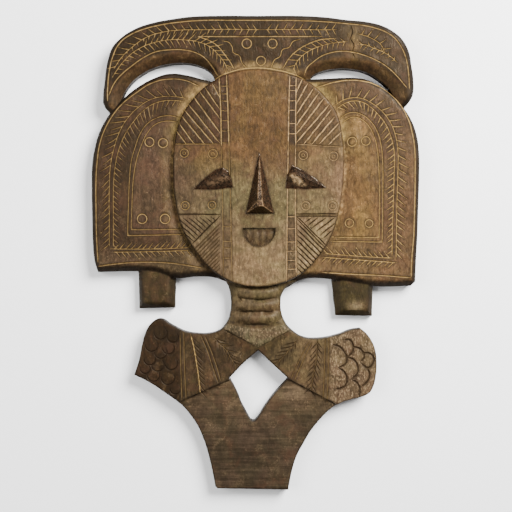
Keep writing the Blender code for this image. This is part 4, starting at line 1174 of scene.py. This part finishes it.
def close_back(bm):
    """Walls down to the floor, an eased lower edge and the flat back."""
    edges = [edge for edge in bm.edges if edge.is_boundary]
    sides = rim_directions(edges)
    loops = [edge.link_loops[0] for edge in edges]
    pairs = [(loop.link_loop_next.vert, loop.vert) for loop in loops]
    for share, height, out in ((0.55, 0.0, 0.00015), (0.0, 0.0011, 0.0), (0.0, 0.0, -0.0009)):
        below = {}
        for old, side in sides.items():
            vert = bm.verts.new((old.co.x, old.co.y, old.co.z * share + height))
            ripple = 0.00025 * noise.noise(vert.co * 90)
            vert.co.x += side.x * (out + ripple)
            vert.co.y += side.y * (out + ripple)
            below[old] = vert
        for a, b in pairs:
            bm.faces.new((a, b, below[b], below[a]))
        pairs = [(below[a], below[b]) for a, b in pairs]
        sides = {below[old]: side for old, side in sides.items()}
    bmesh.ops.triangle_fill(bm, edges=[bm.edges.get(pair) for pair in pairs], use_beauty=True)
    bmesh.ops.remove_doubles(bm, verts=bm.verts, dist=0.000001)
    bmesh.ops.recalc_face_normals(bm, faces=bm.faces)


def build_mask(sizes, carving):
    """The mask as one mesh, with its colours and the part in the second material."""
    bm, colours, feature = build_front(sizes, carving)
    front = len(feature)
    close_back(bm)
    mesh = bpy.data.meshes.new("mask_wood")
    bm.to_mesh(mesh)
    bm.free()
    total = len(mesh.vertices)
    behind = {"tint": linear(BACK_WOOD), "marks": (0, 0, 0.85), "touch": (0, 0, 0)}
    for name, values in colours.items():
        full = np.tile(np.array([*behind[name], 1.0], np.float32), (total, 1))
        full[:front, :3] = values
        layer = mesh.attributes.new(name, "FLOAT_COLOR", "POINT")
        layer.data.foreach_set("color", full.ravel())
    raised = np.zeros(total, bool)
    raised[:front] = feature
    for polygon in mesh.polygons:
        polygon.use_smooth = True
        polygon.material_index = int(raised[list(polygon.vertices)].all())
    mesh.set_sharp_from_angle(angle=math.radians(36))
    mask = bpy.data.objects.new("mask_wood", mesh)
    bpy.context.scene.collection.objects.link(mask)
    return mask


# Wood

class Nodes:
    """A material, and a short way to write its node tree."""

    def __init__(self, name):
        self.material = bpy.data.materials.new(name)
        self.material.use_nodes = True
        self.tree = self.material.node_tree
        self.shader = self.tree.nodes["Principled BSDF"]
        self.place = None

    def feed(self, node, inputs):
        """Links or sets inputs of a node."""
        for key, value in inputs.items():
            if isinstance(value, bpy.types.NodeSocket):
                self.tree.links.new(value, node.inputs[key])
            else:
                node.inputs[key].default_value = value

    def add(self, kind, inputs=None, **settings):
        made = self.tree.nodes.new(kind)
        for key, value in settings.items():
            setattr(made, key, value)
        self.feed(made, inputs or {})
        return made

    def math(self, operation, a, b):
        return self.add("ShaderNodeMath", {0: a, 1: b}, operation=operation).outputs[0]

    def product(self, first, *others):
        for other in others:
            first = self.math("MULTIPLY", first, other)
        return first

    def weighed(self, *parts):
        """The sum of each value times its weight."""
        terms = [self.product(value, weight) for value, weight in parts]
        total = terms[0]
        for term in terms[1:]:
            total = self.math("ADD", total, term)
        return total

    def ramp(self, value, low, high, out_low=0.0, out_high=1.0):
        """The value from low to high as a smooth step between the two outputs."""
        made = self.add("ShaderNodeMapRange", {
            "Value": value, "From Min": low, "From Max": high, "To Min": out_low,
            "To Max": out_high}, interpolation_type="SMOOTHSTEP")
        return made.outputs["Result"]

    def mix(self, share, a, b, blend_type="MIX"):
        made = self.add("ShaderNodeMix", {0: share, 6: a, 7: b}, data_type="RGBA",
                        blend_type=blend_type)
        return made.outputs[2]

    def tinted(self, colour, *tints):
        """The colour multiplied by each tint."""
        for tint in tints:
            colour = self.mix(1.0, colour, tint, "MULTIPLY")
        return colour

    def attribute(self, name):
        return self.add("ShaderNodeAttribute", attribute_name=name).outputs["Color"]

    def parts(self, name):
        """The three shares of a colour attribute."""
        return self.add("ShaderNodeSeparateColor", {0: self.attribute(name)}).outputs

    def noise(self, scale, detail=3.0, roughness=0.55, distortion=0.0, stretch=None):
        """Noise in the object's own space, drawn out along an axis by a low stretch."""
        if self.place is None:
            self.place = self.add("ShaderNodeTexCoord").outputs["Object"]
        vector = self.place
        if stretch:
            vector = self.add("ShaderNodeMapping", {"Vector": vector, "Scale": stretch}).outputs[0]
        made = self.add("ShaderNodeTexNoise", {
            "Vector": vector, "Scale": scale, "Detail": detail, "Roughness": roughness,
            "Distortion": distortion})
        return made.outputs["Fac"]

    def dress(self, colour, roughness, relief, bump, specular, specular_tint):
        """The shader's inputs, with the relief as a bump of this strength."""
        normal = self.add("ShaderNodeBump", {
            "Height": relief, "Distance": 0.0006, "Strength": bump}).outputs[0]
        self.feed(self.shader, {
            "Base Color": colour, "Roughness": roughness, "Normal": normal,
            "Specular IOR Level": specular, "Specular Tint": specular_tint})
        return self.material


def carved_wood(finish):
    """Old worn wood, with grain, hand polish and painted sheen, dirt and painted shade, painted
    glints and pigment in the cuts.
    """
    nodes = Nodes("carved_mask_wood")
    pigment, bare, dirt_and_shade = nodes.parts("marks")
    foot, hand_wear_and_glints, chalk = nodes.parts("touch")
    white = (1, 1, 1, 1)

    fibre = nodes.noise(520, 5, 0.65, stretch=(1, 0.05, 1))
    sawn = nodes.noise(480, 5, 0.7, stretch=(0.04, 1, 1))
    grain = nodes.mix(foot, fibre, sawn)
    broad = nodes.noise(22, 4, 0.6, 0.6)
    patches = nodes.noise(75, 5, 0.62, 0.8)
    fine = nodes.noise(900, 3, 0.6)
    flecks = nodes.ramp(nodes.noise(420, 2, 0.5, stretch=(1, 0.22, 1)), 0.60, 0.70)
    pits = nodes.noise(340, 4, 0.65, 0.4, (1, 0.4, 1))

    rough_cut = nodes.ramp(pits, 0.34, 0.66, 0.68, 1.36)
    rough_cut = nodes.mix(nodes.product(foot, 0.65), rough_cut, white)
    shade = nodes.product(
        nodes.ramp(broad, 0.3, 0.7, 0.80, 1.16), nodes.ramp(grain, 0.3, 0.7, 0.86, 1.12),
        nodes.ramp(patches, 0.32, 0.68, 0.84, 1.14), rough_cut)
    bands = nodes.noise(330, 5, 0.75, stretch=(0.05, 1, 1))
    bands = nodes.mix(foot, white, nodes.add("ShaderNodeCombineColor", {
        k: nodes.ramp(bands, 0.3, 0.7, 0.62, high)
        for k, high in enumerate((1.42, 1.42, 1.50))}).outputs[0])
    tone = nodes.mix(nodes.ramp(nodes.noise(28, 3, 0.55, 0.5), 0.38, 0.62),
                     (1.035, 0.965, 1.01, 1), (0.98, 1.012, 0.955, 1))
    blotch = nodes.ramp(nodes.noise(62, 5, 0.7, 1.0), 0.42, 0.60, 1.14, 0.80)
    colour = nodes.tinted(nodes.attribute("tint"), shade, bands, tone, blotch)
    reddish = nodes.ramp(nodes.noise(42, 4, 0.6, 0.5), 0.49, 0.66, 0.0, 0.36)
    colour = nodes.mix(reddish, colour, (0.040, 0.018, 0.010, 1))

    # Pale polish patches, partly painted sheen
    polish_and_sheen = nodes.product(nodes.ramp(patches, 0.54, 0.74), nodes.ramp(fine, 0.4, 0.62), 0.26)
    speckle = nodes.noise(700, 3, 0.7, stretch=(1, 0.45, 1))
    # Pale specks of hand wear and painted glints
    speckle = nodes.product(hand_wear_and_glints, nodes.ramp(speckle, 0.50, 0.64), 0.7)
    colour = nodes.mix(nodes.math("MAXIMUM", polish_and_sheen, speckle), colour, (*finish.polish_and_sheen, 1))
    # Bright specks: wear and painted glints
    wear_and_glint = nodes.product(nodes.ramp(nodes.noise(640, 5, 0.75, 0.4), 0.54, 0.70),
                         nodes.ramp(patches, 0.36, 0.60, 0.26, 0.85))
    colour = nodes.mix(wear_and_glint, colour, nodes.tinted(colour, (2.9, 2.8, 2.7, 1)))
    colour = nodes.mix(nodes.product(flecks, 0.30), colour, (0.012, 0.007, 0.004, 1))

    # Dirt and painted shade, from the marks' third share
    smudge = nodes.ramp(nodes.noise(160, 4, 0.6), 0.25, 0.75, 0.55, 1.15)
    grime_and_shade = nodes.math("MINIMUM", nodes.product(dirt_and_shade, smudge), 1.0)
    colour = nodes.mix(grime_and_shade, colour, (*finish.grime_and_shade, 1))
    groove = nodes.product(nodes.ramp(bare, 0.1, 0.62), 0.92)
    colour = nodes.mix(groove, colour, (*finish.groove, 1))
    gold = nodes.product(nodes.ramp(pigment, 0.10, 0.85),
                         nodes.ramp(nodes.noise(260, 3, 0.6), 0.28, 0.55, 0.35, 1.0))
    colour = nodes.mix(gold, colour, nodes.mix(chalk, (*finish.pigment, 1), (*finish.chalk, 1)))

    rough = nodes.ramp(patches, 0.35, 0.7, finish.roughness + 0.14, finish.roughness - 0.10)
    rough = nodes.math("ADD", rough, nodes.weighed((bare, 0.2), (dirt_and_shade, 0.16)))
    relief = nodes.weighed((grain, 0.4), (patches, 0.5), (pits, 0.7), (fine, 0.22), (flecks, -0.35))
    return nodes.dress(colour, rough, relief, 0.75, 0.15, (1.0, 0.80, 0.58, 1.0))


def feature_wood(finish):
    """The dark oiled wood of the nose and the eyes, scuffed pale, with the painted highlights in
    its tint.
    """
    nodes = Nodes("carved_feature_wood")
    mottle = nodes.noise(300, 4, 0.65, 0.6)
    fine = nodes.noise(900, 4, 0.7)
    colour = nodes.tinted(nodes.attribute("tint"), nodes.ramp(mottle, 0.40, 0.60, 0.40, 1.8))
    scuffs = nodes.ramp(nodes.noise(520, 4, 0.7, stretch=(1, 0.4, 1)), 0.60, 0.72)
    colour = nodes.mix(nodes.product(scuffs, 0.30), colour, (*finish.polish_and_sheen, 1))
    rough = nodes.ramp(mottle, 0.3, 0.7, 0.20, 0.34)
    relief = nodes.weighed((mottle, 0.8), (fine, 0.2))
    return nodes.dress(colour, rough, relief, 0.6, 0.4, (1.0, 0.80, 0.60, 1.0))


# Stage

def add_floor(look):
    bm = bmesh.new()
    bmesh.ops.create_grid(bm, x_segments=1, y_segments=1, size=4.0)
    mesh = bpy.data.meshes.new("floor")
    bm.to_mesh(mesh)
    bm.free()
    floor = bpy.data.objects.new("floor", mesh)
    bpy.context.scene.collection.objects.link(floor)
    floor.location.z = -0.0002
    nodes = Nodes("floor_paint")
    nodes.feed(nodes.shader, {"Base Color": (*look.floor, 1), "Roughness": 0.9})
    mesh.materials.append(nodes.material)


def add_light(name, place, target, size, power):
    data = bpy.data.lights.new(name, "AREA")
    data.shape = "DISK"
    data.size = size
    data.energy = power
    lamp = bpy.data.objects.new(name, data)
    lamp.location = place
    aim = Vector(target) - Vector(place)
    lamp.rotation_euler = aim.to_track_quat("-Z", "Y").to_euler()
    bpy.context.scene.collection.objects.link(lamp)


def add_camera(look):
    data = bpy.data.cameras.new("camera")
    data.sensor_width = 36
    data.lens = 36 * look.distance / look.frame_width
    camera = bpy.data.objects.new("camera", data)
    camera.location = (0.00055, -0.0033, 0.014 + look.distance)
    bpy.context.scene.collection.objects.link(camera)
    bpy.context.scene.camera = camera


class MASK_OT_carve(bpy.types.Operator):
    """Carve the mask, engrave it and stain its wood"""
    bl_idname = "mask.carve"
    bl_label = "Carve the Mask"

    def execute(self, context):
        scene = context.scene
        mask = build_mask(scene.mask_sizes, scene.mask_carving)
        mask.data.materials.append(carved_wood(scene.mask_finish))
        mask.data.materials.append(feature_wood(scene.mask_finish))
        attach(mask, "root")
        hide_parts(NODE)
        return {"FINISHED"}


class MASK_OT_lay_out(bpy.types.Operator):
    """Lay out the floor, the soft lights and the camera overhead"""
    bl_idname = "mask.lay_out"
    bl_label = "Lay Out the Stage"

    def execute(self, context):
        look = context.scene.mask_stage
        add_floor(look)
        add_light("key_light", (0.76, 0.72, 1.02), (0.02, 0, 0), 0.9, look.key_power)
        add_light("fill_light", (-1.0, 0.1, 1.1), (0, 0, 0), 1.2, look.fill_power)
        add_camera(look)
        world = bpy.data.worlds.new("studio")
        world.use_nodes = True
        sky = world.node_tree.nodes["Background"]
        sky.inputs["Color"].default_value = (1, 1, 1, 1)
        sky.inputs["Strength"].default_value = look.sky
        context.scene.world = world
        return {"FINISHED"}


class MASK_PT_panel(bpy.types.Panel):
    """The mask's sizes, carving, finish and stage"""
    bl_label = "Carved Mask"
    bl_idname = "MASK_PT_panel"
    bl_space_type = "VIEW_3D"
    bl_region_type = "UI"
    bl_category = "Mask"

    def draw(self, context):
        layout = self.layout
        for name in ("mask_sizes", "mask_carving", "mask_finish", "mask_stage"):
            group = getattr(context.scene, name)
            box = layout.box()
            for key in group.__annotations__:
                box.prop(group, key)
        layout.operator("mask.carve")
        layout.operator("mask.lay_out")


GROUPS = {
    "mask_sizes": MaskSizes, "mask_carving": MaskCarving, "mask_finish": MaskFinish,
    "mask_stage": StageLook,
}
CLASSES = (*GROUPS.values(), MASK_OT_carve, MASK_OT_lay_out, MASK_PT_panel)


def register():
    for cls in CLASSES:
        bpy.utils.register_class(cls)
    for name, cls in GROUPS.items():
        setattr(bpy.types.Scene, name, bpy.props.PointerProperty(type=cls))


def unregister():
    for name in GROUPS:
        delattr(bpy.types.Scene, name)
    for cls in reversed(CLASSES):
        bpy.utils.unregister_class(cls)


def main():
    register()
    bpy.ops.mask.lay_out()
    bpy.ops.mask.carve()


if __name__ == "__main__":
    main()
